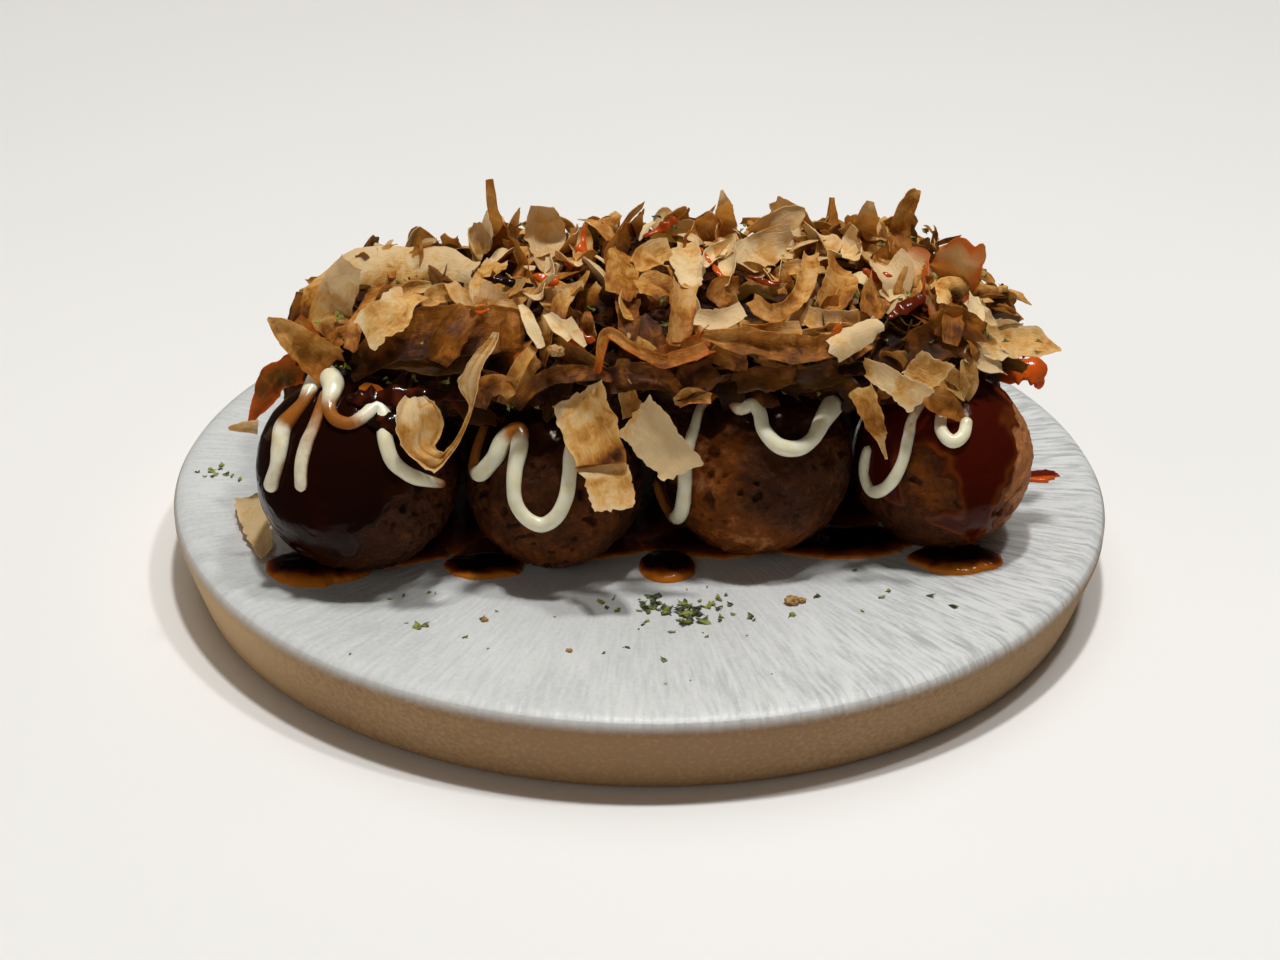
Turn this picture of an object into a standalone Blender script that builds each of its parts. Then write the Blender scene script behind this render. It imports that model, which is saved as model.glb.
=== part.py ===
"""Takoyaki on a round plate: two rows of four octopus balls, piped with mayonnaise, under a heap of bonito shavings.

Units are metres and +Z is up. The origin is the centre of the plate's underside. The diner sits on the -Y side.
"""

import math

import bmesh
import bpy
from mathutils import Matrix, Vector, noise

MM = 0.001
GAP = 0.3 * MM

# Plate: a turned stoneware slab whose side leans in towards the table.
PLATE_RADIUS = 100.0 * MM
PLATE_HEIGHT = 18.0 * MM
PLATE_FOOT_RADIUS = 95.0 * MM
PLATE_EDGE_RADIUS = 2.0 * MM
PLATE_STEPS = 64

# Balls: two rows, turned a little on the plate. Each ball is (place along the row, place across it, radius).
ROW_TURN = math.radians(6.3)
GROUP_CENTRE = Vector((2.0 * MM, -12.0 * MM, 0.0))
BALLS = {
    "front_1": (-60.9 * MM, -18.5 * MM, 20.3 * MM),
    "front_2": (-21.7 * MM, -21.0 * MM, 17.9 * MM),
    "front_3": (19.3 * MM, -18.3 * MM, 19.9 * MM),
    "front_4": (58.6 * MM, -18.6 * MM, 18.3 * MM),
    "back_1": (-58.4 * MM, 21.0 * MM, 18.2 * MM),
    "back_2": (-20.2 * MM, 17.9 * MM, 19.0 * MM),
    "back_3": (19.8 * MM, 20.6 * MM, 18.2 * MM),
    "back_4": (59.2 * MM, 19.6 * MM, 19.0 * MM),
}
BALL_SEAT = 0.93
BALL_LUMP = 0.018
BALL_SEGMENTS = 20
BALL_RINGS = 12
CUTTER_SEGMENTS = 16
CUTTER_RINGS = 10

# Mayonnaise: a bead piped over each ball, given as (azimuth, elevation) stops in degrees seen from its centre.
# Azimuth 0 faces the diner and 90 faces +X.
MAYO_RADIUS = 1.5 * MM
MAYO_GAP = 0.4 * MM
MAYO_STEP = 3.6 * MM
MAYO_LINES = {
    "front_1": (
        (-50, 5), (-47, 20), (-50, 30), (-56, 39), (-57, 48), (-60, 57), (-75, 65), (-105, 70), (-45, 74), (-27, 61),
        (-15, 54), (-1, 52), (12, 56), (28, 60), (29, 51), (25, 42), (26, 31), (31, 24), (40, 17), (60, 6),
    ),
    "front_1_inner": ((-30, 46), (-31, 38), (-30, 27), (-27, 12)),
    "front_2": (
        (-107, 46), (-80, 40), (-69, 28), (-62, 19), (-53, 20), (-46, 32), (-45, 44), (-37, 53), (-28, 43),
        (-26, 28), (-23, 12), (-16, 2), (-6, -2), (3, 4), (9, 16), (12, 29), (15, 41), (23, 52),
    ),
    "front_3": (
        (-84, -12), (-77, -23), (-66, -28), (-54, -23), (-45, -11), (-43, 3), (-45, 15), (-48, 36), (-54, 48),
        (-50, 60), (-32, 60), (-18, 54), (-6, 57), (1, 52), (4, 42), (13, 33), (26, 30), (39, 33), (55, 40), (80, 42),
    ),
    "front_4": (
        (-56, 14), (-60, 3), (-55, -6), (-45, -2), (-37, 8), (-33, 21), (-36, 35), (-37, 47), (-26, 56),
        (-15, 49), (-10, 40), (-1, 36), (8, 41), (14, 51),
    ),
    "back_1": ((-128, 58), (-140, 30), (-160, 14), (-178, 30), (176, 56)),
    "back_2": ((-134, 60), (-150, 36), (-168, 22), (174, 36), (166, 60)),
    "back_3": ((-166, 62), (-172, 34), (172, 8), (152, 10), (142, 36), (134, 60)),
    "back_4": ((168, 60), (162, 34), (146, 20), (128, 26), (114, 28), (100, 14), (86, 24), (82, 52)),
}

# Sheets of bonito. Each runs through stops (along the row, across it, up from the plate, width), in millimetres,
# and is turned to face an (azimuth, elevation) in degrees, counted like the mayonnaise's.
SHEET_STEP = 4.5

# Shavings heap: one lumpy mound over the balls' crowns, with bigger sheets standing out of it.
HEAP_BASE = PLATE_HEIGHT + 34.0 * MM
HEAP_SHIFT = 2.0 * MM
HEAP_HALF_LENGTH = 73.0 * MM
HEAP_HALF_WIDTH = 31.0 * MM
HEAP_RISE = 23.0 * MM
HEAP_DROOP = 6.0 * MM
HEAP_SQUARENESS = 0.72
HEAP_LUMP = 0.12
HEAP_RIPPLE = 0.11
HEAP_SEGMENTS = 38
HEAP_RINGS = 12
BLADE_THICKNESS = 1.4 * MM
BLADES = (
    (((-60, 2, 38, 17), (-70, 4, 41, 14), (-79, 5, 42, 2)), (-15, 50)),
    (((-50, 2, 38, 30), (-51, 6, 48, 33), (-51, 8, 55.5, 24)), (-15, 15)),
    (((-58, 8, 36, 16), (-66, 10, 44, 15), (-69, 12, 51, 6)), (-60, 20)),
    (((-38, 14, 46, 12), (-36, 14, 60, 5)), (0, 10)),
    (((-30, 6, 48, 12), (-31.5, 7, 59, 6), (-32.4, 8, 70.3, 1.2)), (0, 10)),
    (((-21, 6, 46, 14), (-21, 6, 57, 13), (-21.5, 9, 63.6, 7)), (0, 15)),
    (((-18, -4, 48, 7), (-16, -2, 56, 5), (-15, 2, 62.5, 0.8)), (0, 10)),
    (((-8, 4, 50, 12), (-4, 6, 56, 9), (-0.5, 8, 62.5, 1.2)), (10, 20)),
    (((13, 6, 50, 16), (14, 7, 59, 8), (14.6, 8, 67.4, 1.2)), (0, 15)),
    (((28, 8, 46, 16), (29, 8, 56, 14), (30, 11, 61.5, 9)), (-10, 15)),
    (((43, 5, 48, 11), (44, 8, 62.5, 2)), (0, 10)),
    (((48, 5, 48, 12), (51, 6, 58, 9), (54, 8, 66.4, 4)), (10, 10)),
    (((57, 6, 37, 16), (60.5, 8, 46, 17), (63.5, 9, 52.5, 13)), (8, 20)),
    (((60, 2, 45, 12), (68, 4, 45.5, 9), (75.5, 6, 44, 1.2)), (0, 40)),
    (((68, 2, 36, 13), (78, 3, 34.5, 13), (87, 3, 31, 2)), (5, 45)),
    (((-6, -18, 46, 12), (6, -29, 40, 10), (16, -34, 37, 2)), (0, 60)),
    (((-40, -20, 44, 12), (-31, -30, 39, 10), (-22, -33, 38, 3)), (0, 50)),
    (((22, -20, 46, 14), (32, -29, 41, 12), (43, -31, 39, 3)), (0, 55)),
    (((-30, 20, 46, 14), (-36, 31, 42, 12), (-44, 37, 38, 3)), (180, 55)),
    (((4, 22, 48, 15), (0, 32, 44, 12), (-6, 38, 38, 3)), (170, 50)),
    (((34, 22, 48, 15), (40, 32, 43, 13), (47, 37, 38, 3)), (-170, 50)),
    (((60, 18, 42, 14), (68, 27, 39, 12), (74, 32, 36, 3)), (150, 60)),
    (((-58, 20, 40, 14), (-66, 28, 38, 12), (-72, 33, 35, 3)), (-150, 60)),
    (((-10, 18, 44, 12), (-8, 22, 51.5, 7), (-5, 24, 56, 1.2)), (170, 20)),
    (((42, 20, 45, 13), (40, 22, 51, 8), (38, 23, 54, 1.2)), (180, 15)),
)

# Single shavings in front of the heap and on the plate.
SHAVING_THICKNESS = 0.6 * MM
SHAVINGS = {
    "shaving_folded": (((-14.4, -33.5, 44.6, 10), (-14.1, -36.6, 32.8, 10.5), (-12.5, -42.6, 20.5, 9)), (18, 25)),
    "shaving_square": (((-7, -36.5, 37.5, 11), (-2.5, -38, 32, 12), (4.5, -40, 25.2, 10)), (5, 30)),
    "shaving_middle": (((-10.2, -37.8, 48, 1.2), (-8.2, -35.4, 41, 3.2), (-5.6, -32.2, 33, 4)), (10, 15)),
    "shaving_curl": ((
        (-51, -31.5, 42.5, 8), (-52.6, -37.5, 38.5, 10), (-49.8, -40.2, 32.5, 9), (-46.3, -39.2, 28.5, 4),
        (-43, -37, 30.8, 2.5), (-40.2, -35, 38, 3.5), (-38, -33, 45.5, 6), (-35.4, -31, 53.5, 1.5),
    ), (0, 15)),
    "shaving_long": (((36, -33.5, 47, 5), (42.5, -37.5, 42, 7.5), (49.5, -40.5, 36, 8.5)), (10, 35)),
    "shaving_right": (((49, -31, 47.5, 8), (54, -33.5, 43.5, 10), (58.5, -38.5, 36, 7)), (5, 45)),
    "shaving_pointed": (((42.5, -36, 37, 8), (42, -37, 30, 6), (42.6, -37.5, 23.8, 0.8)), (0, 10)),
    "shaving_on_plate": (((-85.5, -3, 2.9, 9), (-84, -14, 3.3, 12), (-80.5, -25, 2.9, 8)), (-80, 65)),
    "shaving_left": (((-80.4, -17, 28.4, 2.4), (-83.6, -17, 28.0, 2.6), (-86.9, -17, 27.9, 1.2)), (-10, 50)),
}


def clear_scene():
    for item in list(bpy.data.objects):
        bpy.data.objects.remove(item)


def new_collection(name):
    collection = bpy.data.collections.new(name)
    bpy.context.scene.collection.children.link(collection)
    return collection


def move_to(item, collection):
    for holder in list(item.users_collection):
        holder.objects.unlink(item)
    collection.objects.link(item)
    return item


def finish(name, colour, roughness):
    """A Principled material."""
    material = bpy.data.materials.new(name)
    material.use_nodes = True
    shader = material.node_tree.nodes["Principled BSDF"]
    shader.inputs["Base Color"].default_value = (*colour, 1.0)
    shader.inputs["Roughness"].default_value = roughness
    return material


def as_helper(item, collection):
    """Marks an object as a cutter or a guide, which isn't part of the model."""
    move_to(item, collection)
    item.hide_render = True
    item.display_type = "WIRE"
    return item


def group_point(along, across, up):
    """A place in the group of balls, as a point of the model."""
    return GROUP_CENTRE + Matrix.Rotation(ROW_TURN, 3, "Z") @ Vector((along, across, up))


def ball_place(name):
    """A ball's centre, radius and lump seed."""
    along, across, radius = BALLS[name]
    height = PLATE_HEIGHT + GAP + BALL_SEAT * radius
    return group_point(along, across, height), radius, 3.1 * list(BALLS).index(name)


def ball_surface(direction, radius, seed):
    """The point of a lumpy ball's skin that lies in a direction from its centre."""
    lump = noise.noise(direction * 1.7 + Vector((seed, seed * 0.5, -seed)))
    return direction * radius * (1.0 + BALL_LUMP * lump)


def make_ball(name, ball, segments, rings, extra=0.0):
    """A lumpy ball with the flat spot that it rests on. extra grows it all over, for a cutter."""
    centre, radius, seed = ball_place(ball)
    bpy.ops.mesh.primitive_uv_sphere_add(segments=segments, ring_count=rings, radius=1.0)
    ball = bpy.context.object
    ball.name = name
    ball.location = centre
    floor = -BALL_SEAT * radius - extra
    for vertex in ball.data.vertices:
        point = ball_surface(vertex.co.normalized(), radius, seed)
        point += point.normalized() * extra
        point.z = max(point.z, floor)
        vertex.co = point
    ball.data.shade_smooth()
    return ball


def facing(azimuth, elevation):
    """The unit vector of an azimuth and elevation in degrees."""
    turn, lift = math.radians(azimuth), math.radians(elevation)
    return Vector((math.sin(turn) * math.cos(lift), -math.cos(turn) * math.cos(lift), math.sin(lift)))


def smooth_stops(stops, step):
    """Points every step along a Catmull-Rom curve through the stops."""
    ends = [2 * stops[0] - stops[1]] + list(stops) + [2 * stops[-1] - stops[-2]]
    points = []
    for before, start, end, after in zip(ends, ends[1:], ends[2:], ends[3:]):
        count = max(1, round((end - start).length / step))
        for i in range(count):
            t = i / count
            points.append(0.5 * (
                2 * start
                + (end - before) * t
                + (2 * before - 5 * start + 4 * end - after) * t ** 2
                + (3 * start - before - 3 * end + after) * t ** 3
            ))
    return points + [ends[-2]]


def make_sheet(name, stops, front, thickness):
    """A bent ribbon of varying width through the stops, turned to face front, with the given thickness."""
    points = smooth_stops([Vector(stop) for stop in stops], SHEET_STEP)
    places = [group_point(along * MM, across * MM, PLATE_HEIGHT + up * MM) for along, across, up, width in points]
    bpy.ops.mesh.primitive_grid_add(x_subdivisions=len(points) - 1, y_subdivisions=1, size=2.0)
    sheet = bpy.context.object
    sheet.name = name
    for vertex in sheet.data.vertices:
        i = round((vertex.co.x + 1.0) / 2.0 * (len(points) - 1))
        course = places[min(i + 1, len(places) - 1)] - places[max(i - 1, 0)]
        side = course.cross(facing(*front)).normalized()
        vertex.co = places[i] + side * vertex.co.y * points[i].w / 2 * MM
    wall = sheet.modifiers.new("thickness", "SOLIDIFY")
    wall.thickness = thickness
    wall.offset = 0.0
    return sheet


def make_plate(collection, material):
    """Half the plate's section, turned about its axis."""
    profile = [(0.0, PLATE_HEIGHT)]
    centre_x = PLATE_RADIUS - PLATE_EDGE_RADIUS
    centre_z = PLATE_HEIGHT - PLATE_EDGE_RADIUS
    for step in range(4):
        turn = math.radians(90 - 30 * step)
        x = centre_x + PLATE_EDGE_RADIUS * math.cos(turn)
        z = centre_z + PLATE_EDGE_RADIUS * math.sin(turn)
        profile.append((x, z))
    profile.append((PLATE_FOOT_RADIUS + 0.3 * MM, 1.0 * MM))
    profile.append((PLATE_FOOT_RADIUS - 0.7 * MM, 0.0))
    profile.append((0.0, 0.0))
    mesh = bpy.data.meshes.new("plate")
    shape = bmesh.new()
    points = [shape.verts.new((x, 0.0, z)) for x, z in profile]
    for first, second in zip(points, points[1:]):
        shape.edges.new((first, second))
    shape.to_mesh(mesh)
    shape.free()
    plate = bpy.data.objects.new("plate", mesh)
    collection.objects.link(plate)
    turning = plate.modifiers.new("turn", "SCREW")
    turning.axis = "Z"
    turning.steps = PLATE_STEPS
    turning.render_steps = PLATE_STEPS
    turning.use_merge_vertices = True
    turning.merge_threshold = 0.00001
    plate.data.materials.append(material)
    return plate


def make_bead(name, ball, stops):
    """A round bead that lies on a ball's skin, as a closed mesh."""
    centre, radius, seed = ball_place(ball)
    path = smooth_stops([facing(*stop) * radius for stop in stops], MAYO_STEP)
    curve = bpy.data.curves.new(name, "CURVE")
    curve.dimensions = "3D"
    curve.bevel_depth = MAYO_RADIUS
    curve.bevel_resolution = 1
    curve.use_fill_caps = True
    spline = curve.splines.new("POLY")
    spline.points.add(len(path) - 1)
    for point, place in zip(spline.points, path):
        direction = place.normalized()
        skin = ball_surface(direction, radius, seed) + direction * (MAYO_GAP + MAYO_RADIUS)
        point.co = (*(centre + skin), 1.0)
    line = bpy.data.objects.new(name + "_line", curve)
    bpy.context.scene.collection.objects.link(line)
    bpy.context.view_layer.update()
    mesh = bpy.data.meshes.new_from_object(line.evaluated_get(bpy.context.evaluated_depsgraph_get()))
    shape = bmesh.new()
    shape.from_mesh(mesh)
    bmesh.ops.remove_doubles(shape, verts=shape.verts, dist=0.00001)
    bmesh.ops.recalc_face_normals(shape, faces=shape.faces)
    shape.to_mesh(mesh)
    shape.free()
    bead = bpy.data.objects.new(name, mesh)
    bpy.context.scene.collection.objects.link(bead)
    bpy.data.objects.remove(line)
    return bead


def mound_surface(direction):
    """The mound's skin in a direction from the middle of its base, in the group's own axes."""
    squared = Vector((math.copysign(abs(part) ** HEAP_SQUARENESS, part) for part in direction))
    rise = HEAP_RISE if direction.z > 0 else HEAP_DROOP
    lumps = 1.0 + HEAP_LUMP * noise.noise(direction * 3.0 + Vector((4.2, 1.3, 7.7)))
    lumps += HEAP_RIPPLE * noise.noise(direction * 7.5 + Vector((9.1, 3.4, 2.6)))
    return Vector((squared.x * HEAP_HALF_LENGTH, squared.y * HEAP_HALF_WIDTH, squared.z * rise)) * lumps


def make_heap(collection, cutters, blades, material):
    """The mound with its blades joined on, hollowed beneath so that it rests on the beads of mayonnaise."""
    bpy.ops.mesh.primitive_uv_sphere_add(segments=HEAP_SEGMENTS, ring_count=HEAP_RINGS, radius=1.0)
    heap = move_to(bpy.context.object, collection)
    heap.name = "shavings_heap"
    for vertex in heap.data.vertices:
        local = mound_surface(vertex.co.normalized())
        vertex.co = group_point(HEAP_SHIFT + local.x, local.y, HEAP_BASE + local.z)
    join = heap.modifiers.new("blades", "BOOLEAN")
    join.operation = "UNION"
    join.operand_type = "COLLECTION"
    join.collection = blades
    cut = heap.modifiers.new("clearance", "BOOLEAN")
    cut.operation = "DIFFERENCE"
    cut.operand_type = "COLLECTION"
    cut.collection = cutters
    heap.data.materials.append(material)
    return heap


def main():
    clear_scene()
    dish = new_collection("takoyaki")
    cutters = new_collection("cutters")
    blades = new_collection("blades")
    make_plate(dish, finish("white_stoneware", (0.80, 0.80, 0.78), 0.35))
    crust = finish("browned_batter", (0.16, 0.06, 0.02), 0.3)
    mayonnaise = finish("mayonnaise", (0.86, 0.80, 0.58), 0.3)
    bonito = finish("bonito_shavings", (0.52, 0.33, 0.17), 0.6)
    for name, (_, _, radius) in BALLS.items():
        ball = move_to(make_ball(f"ball_{name}", name, BALL_SEGMENTS, BALL_RINGS), dish)
        ball.data.materials.append(crust)
        hollow = 2 * MAYO_RADIUS + MAYO_GAP + GAP + 0.04 * radius
        as_helper(make_ball(f"cutter_{name}", name, CUTTER_SEGMENTS, CUTTER_RINGS, hollow), cutters)
    for name, stops in MAYO_LINES.items():
        ball = "_".join(name.split("_")[:2])
        bead = move_to(make_bead(f"mayo_{name}", ball, stops), dish)
        bead.data.materials.append(mayonnaise)
        bead.data.shade_smooth()
    for number, (stops, front) in enumerate(BLADES, start=1):
        as_helper(make_sheet(f"blade_{number}", stops, front, BLADE_THICKNESS), blades)
    for name, (stops, front) in SHAVINGS.items():
        shaving = move_to(make_sheet(name, stops, front, SHAVING_THICKNESS), dish)
        shaving.data.materials.append(bonito)
    make_heap(dish, cutters, blades, bonito)


main()
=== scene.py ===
"""The looks of a plate of takoyaki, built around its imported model."""

import math
import random

import bpy
import numpy as np
from mathutils import Matrix, Vector, noise


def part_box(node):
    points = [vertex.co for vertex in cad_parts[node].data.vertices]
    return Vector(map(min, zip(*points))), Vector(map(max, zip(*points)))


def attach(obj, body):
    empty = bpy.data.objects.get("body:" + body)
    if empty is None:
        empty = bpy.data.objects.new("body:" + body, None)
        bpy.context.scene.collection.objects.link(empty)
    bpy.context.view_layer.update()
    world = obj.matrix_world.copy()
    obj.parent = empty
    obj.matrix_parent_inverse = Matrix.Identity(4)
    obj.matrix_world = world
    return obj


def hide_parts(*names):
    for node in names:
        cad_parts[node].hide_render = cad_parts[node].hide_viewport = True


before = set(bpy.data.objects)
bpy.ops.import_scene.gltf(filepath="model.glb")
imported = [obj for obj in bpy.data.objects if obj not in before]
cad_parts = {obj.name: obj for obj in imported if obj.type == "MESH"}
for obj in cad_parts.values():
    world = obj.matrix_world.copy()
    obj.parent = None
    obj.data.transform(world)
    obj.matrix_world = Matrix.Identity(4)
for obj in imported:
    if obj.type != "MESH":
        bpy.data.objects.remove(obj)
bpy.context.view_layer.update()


# The table and the light. The plate stands on a plain pale table. Two small lamps hang over it and
# throw crisp short shadows, a wide ceiling softens them, and a low card in front lights the side
# that faces the diner.
MM = 0.001
TABLE_WIDTH = 4.0
TABLE_DROP = 0.2 * MM
TABLE_CLOUD = 180 * MM
TABLE_SHADE = (0.86, 0.86, 0.85)
TABLE_LIGHT = (0.90, 0.90, 0.89)
EYE_DISTANCE = 617.0 * MM
EYE_ELEVATION = math.radians(27.5)
EYE_TARGET = Vector((0.0, 0.0, 16.5 * MM))
EYE_ROLL = math.radians(1.0)
EYE_LENS = 80.16
EYE_SENSOR = 36.0
# Each lamp: where it hangs, its width, power and colour, and whether it shows in what is glossy.
LAMPS = (
    ("overhead_lamp", (0.02, -0.04, 1.30), 0.09, 8.8, (1.0, 0.99, 0.97), True),
    ("right_lamp", (0.38, -0.02, 1.24), 0.09, 3.9, (1.0, 0.99, 0.98), True),
    ("ceiling", (0.0, 0.45, 1.33), 1.3, 5.8, (1.0, 0.97, 0.92), False),
    ("front_card", (-0.75, -1.2, 0.16), 2.0, 7.5, (1.0, 0.93, 0.84), False),
)
ROOM_COLOUR = (1.0, 0.86, 0.72)
ROOM_STRENGTH = 0.035


class Signal:
    """A node's output that takes part in Python sums, each of which adds a Math node."""

    def __init__(self, finish, socket):
        self.finish = finish
        self.socket = socket

    def maths(self, operation, *values):
        return self.finish.node("ShaderNodeMath", {"operation": operation}, dict(enumerate(values)))

    def __add__(self, other):
        return self.maths("ADD", self, other)

    def __sub__(self, other):
        return self.maths("SUBTRACT", self, other)

    def __rsub__(self, other):
        return self.maths("SUBTRACT", other, self)

    def __mul__(self, other):
        return self.maths("MULTIPLY", self, other)

    def __truediv__(self, other):
        return self.maths("DIVIDE", self, other)

    __radd__ = __add__
    __rmul__ = __mul__

    def rise(self, low, high):
        """0 below low, 1 above high and a smooth slope between."""
        limits = {"Value": self, "From Min": low, "From Max": high}
        return self.finish.node("ShaderNodeMapRange", {"interpolation_type": "SMOOTHSTEP"}, limits)


class Finish:
    """A Principled material whose nodes are added by one method."""

    def __init__(self, name):
        self.material = bpy.data.materials.new(name)
        self.material.use_nodes = True
        self.tree = self.material.node_tree
        self.shader = self.tree.nodes["Principled BSDF"]
        self.place = self.node("ShaderNodeTexCoord", output="Object")

    def node(self, kind, settings=None, inputs=None, output=0):
        """Adds a node, its settings before its sockets' values or links, and returns one output."""
        node = self.tree.nodes.new(kind)
        for key, value in (settings or {}).items():
            if key == "stops":
                for extra in value[2:]:
                    node.color_ramp.elements.new(extra[0])
                for element, (position, colour) in zip(node.color_ramp.elements, value):
                    element.position = position
                    element.color = (*colour, 1.0)
            else:
                setattr(node, key, value)
        for key, value in (inputs or {}).items():
            self.feed(node.inputs[key], value)
        return Signal(self, node.outputs[output])

    def feed(self, socket, value):
        if isinstance(value, Signal):
            self.tree.links.new(value.socket, socket)
        elif isinstance(value, tuple) and socket.type == "RGBA":
            socket.default_value = (*value, 1.0)
        else:
            socket.default_value = value

    def set(self, **values):
        """Sets the shader's sockets, with underscores for the spaces in their names."""
        for name, value in values.items():
            self.feed(self.shader.inputs[name.replace("_", " ")], value)

    def attribute(self, name):
        return self.node("ShaderNodeAttribute", {"attribute_name": name}, output="Fac")

    def vector(self, operation, first, second=(0.0, 0.0, 0.0), output=0):
        places = {0: first, 1: second}
        return self.node("ShaderNodeVectorMath", {"operation": operation}, places, output)

    def axis(self, place, letter):
        return self.node("ShaderNodeSeparateXYZ", None, {0: place}, letter)

    def grain(self, size, detail=3.0, roughness=0.5, distortion=0.0, where=None):
        """Noise whose lumps are about size metres across."""
        inputs = {"Vector": where or self.place, "Scale": 1.0 / size, "Detail": detail}
        inputs.update({"Roughness": roughness, "Distortion": distortion})
        return self.node("ShaderNodeTexNoise", None, inputs)

    def mix(self, factor, first, second):
        inputs = {0: factor, 6: first, 7: second}
        return self.node("ShaderNodeMix", {"data_type": "RGBA"}, inputs, output=2)

    def ramp(self, factor, *stops):
        return self.node("ShaderNodeValToRGB", {"stops": stops}, {0: factor})

    def bump(self, height, depth):
        """Relief of depth metres under the surface."""
        relief = self.node("ShaderNodeBump", None, {"Height": height, "Distance": depth}, "Normal")
        self.set(Normal=relief)
        return relief


def deselect():
    if bpy.context.object and bpy.context.object.mode != "OBJECT":
        bpy.ops.object.mode_set(mode="OBJECT")
    bpy.ops.object.select_all(action="DESELECT")


def finished(piece, finish, slot, *nodes):
    """Gives a piece its material and its place in the frame."""
    piece.data.materials.clear()
    piece.data.materials.append(finish.material)
    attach(piece, "root")
    if nodes:
        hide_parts(*nodes)


def table_finish():
    finish = Finish("pale_table")
    cloud = finish.grain(TABLE_CLOUD, 2.0)
    finish.set(Base_Color=finish.mix(cloud, TABLE_SHADE, TABLE_LIGHT), Roughness=0.6)
    return finish


deselect()
bpy.ops.mesh.primitive_plane_add(size=TABLE_WIDTH, location=(0.0, 0.0, -TABLE_DROP))
table = bpy.context.object
table.name = "table_top"
table.data.materials.append(table_finish().material)
table.visible_glossy = False

for lamp_name, lamp_place, lamp_size, lamp_power, lamp_colour, lamp_shines in LAMPS:
    bpy.ops.object.light_add(type="AREA", location=lamp_place)
    lamp = bpy.context.object
    lamp.name = lamp_name
    lamp.data.size = lamp_size
    lamp.data.energy = lamp_power
    lamp.data.color = lamp_colour
    lamp.visible_glossy = lamp_shines
    lamp.visible_camera = False
    lamp.rotation_euler = (EYE_TARGET - Vector(lamp_place)).to_track_quat("-Z", "Y").to_euler()

world = bpy.data.worlds.new("pale_room")
world.use_nodes = True
world.node_tree.nodes["Background"].inputs["Color"].default_value = (*ROOM_COLOUR, 1.0)
world.node_tree.nodes["Background"].inputs["Strength"].default_value = ROOM_STRENGTH
bpy.context.scene.world = world
bpy.context.scene.view_settings.view_transform = "Standard"

look = Vector((0.0, math.cos(EYE_ELEVATION), -math.sin(EYE_ELEVATION)))
bpy.ops.object.camera_add(location=EYE_TARGET - look * EYE_DISTANCE)
camera = bpy.context.object
camera.name = "diner_view"
camera.data.lens = EYE_LENS
camera.data.sensor_width = EYE_SENSOR
level = look.to_track_quat("-Z", "Y").to_matrix()
camera.rotation_euler = (Matrix.Rotation(EYE_ROLL, 3, -look) @ level).to_euler()
bpy.context.scene.camera = camera
deselect()


# The plate: a thick round slab of stoneware, thrown and turned. Its white glaze is combed into fine
# wavy ridges that run out to the rim, and it stops at the rounded edge, which leaves the side bare,
# tan and grainy.
PLATE_SEGMENTS = 1700
PLATE_RINGS = 38
PLATE_EDGE = 3.0 * MM
PLATE_SIDE_CUTS = 9
FOOT_INSET = 5.0 * MM
FOOT_EDGE = 0.8 * MM
RIDGE_HEIGHT = 0.22 * MM
RIDGE_PITCH = 1.3 * MM
RIDGE_LENGTH = 4.5 * MM
RIDGE_SPREAD = 1.8
RIDGES_START = 0.30
RIDGES_GROW = 0.45
RIDGES_LEAST = 0.12
RIDGE_PATCHES = 28.0
COMB_SIZE = 1 / 0.6
PEBBLE_HEIGHT = 0.05 * MM
PEBBLE_SIZE = 1.6 * MM
GLAZE_STOP = 3.2 * MM
GLAZE_RELIEF = 0.16 * MM
GLAZE_WHITE = (0.71, 0.725, 0.72)
# GLAZE_GREY is the glaze's own grey tone and also the painted shade in its grooves.
GLAZE_GREY = (0.44, 0.455, 0.455)
BARE_TAN = (0.41, 0.255, 0.122)
# BARE_BROWN also serves as painted shade at the front; BARE_LIGHT is painted light at left and
# right.
BARE_BROWN = (0.31, 0.18, 0.080)
BARE_LIGHT = (0.66, 0.45, 0.23)
plate_low, plate_high = (Vector(corner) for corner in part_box("plate"))
plate_radius = (plate_high.x - plate_low.x) / 2
plate_top = plate_high.z


def ridges(place):
    """How far the glaze stands up at a place of the plate's top: ridges and fine pebbles."""
    radius = max(math.hypot(place.x, place.y), 1e-6)
    spread = RIDGE_SPREAD * plate_radius / RIDGE_PITCH
    wander = Vector((place.x / radius * spread, place.y / radius * spread, radius / RIDGE_LENGTH))
    ridge = noise.noise(wander) + 0.4 * noise.noise(wander * 1.9)
    rim = min(1.0, max(RIDGES_LEAST, (radius / plate_radius - RIDGES_START) / RIDGES_GROW))
    patch = 0.75 + 0.6 * noise.noise(place * RIDGE_PATCHES)
    pebble = noise.noise(place / PEBBLE_SIZE)
    return RIDGE_HEIGHT * ridge * rim * patch + PEBBLE_HEIGHT * pebble


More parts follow.
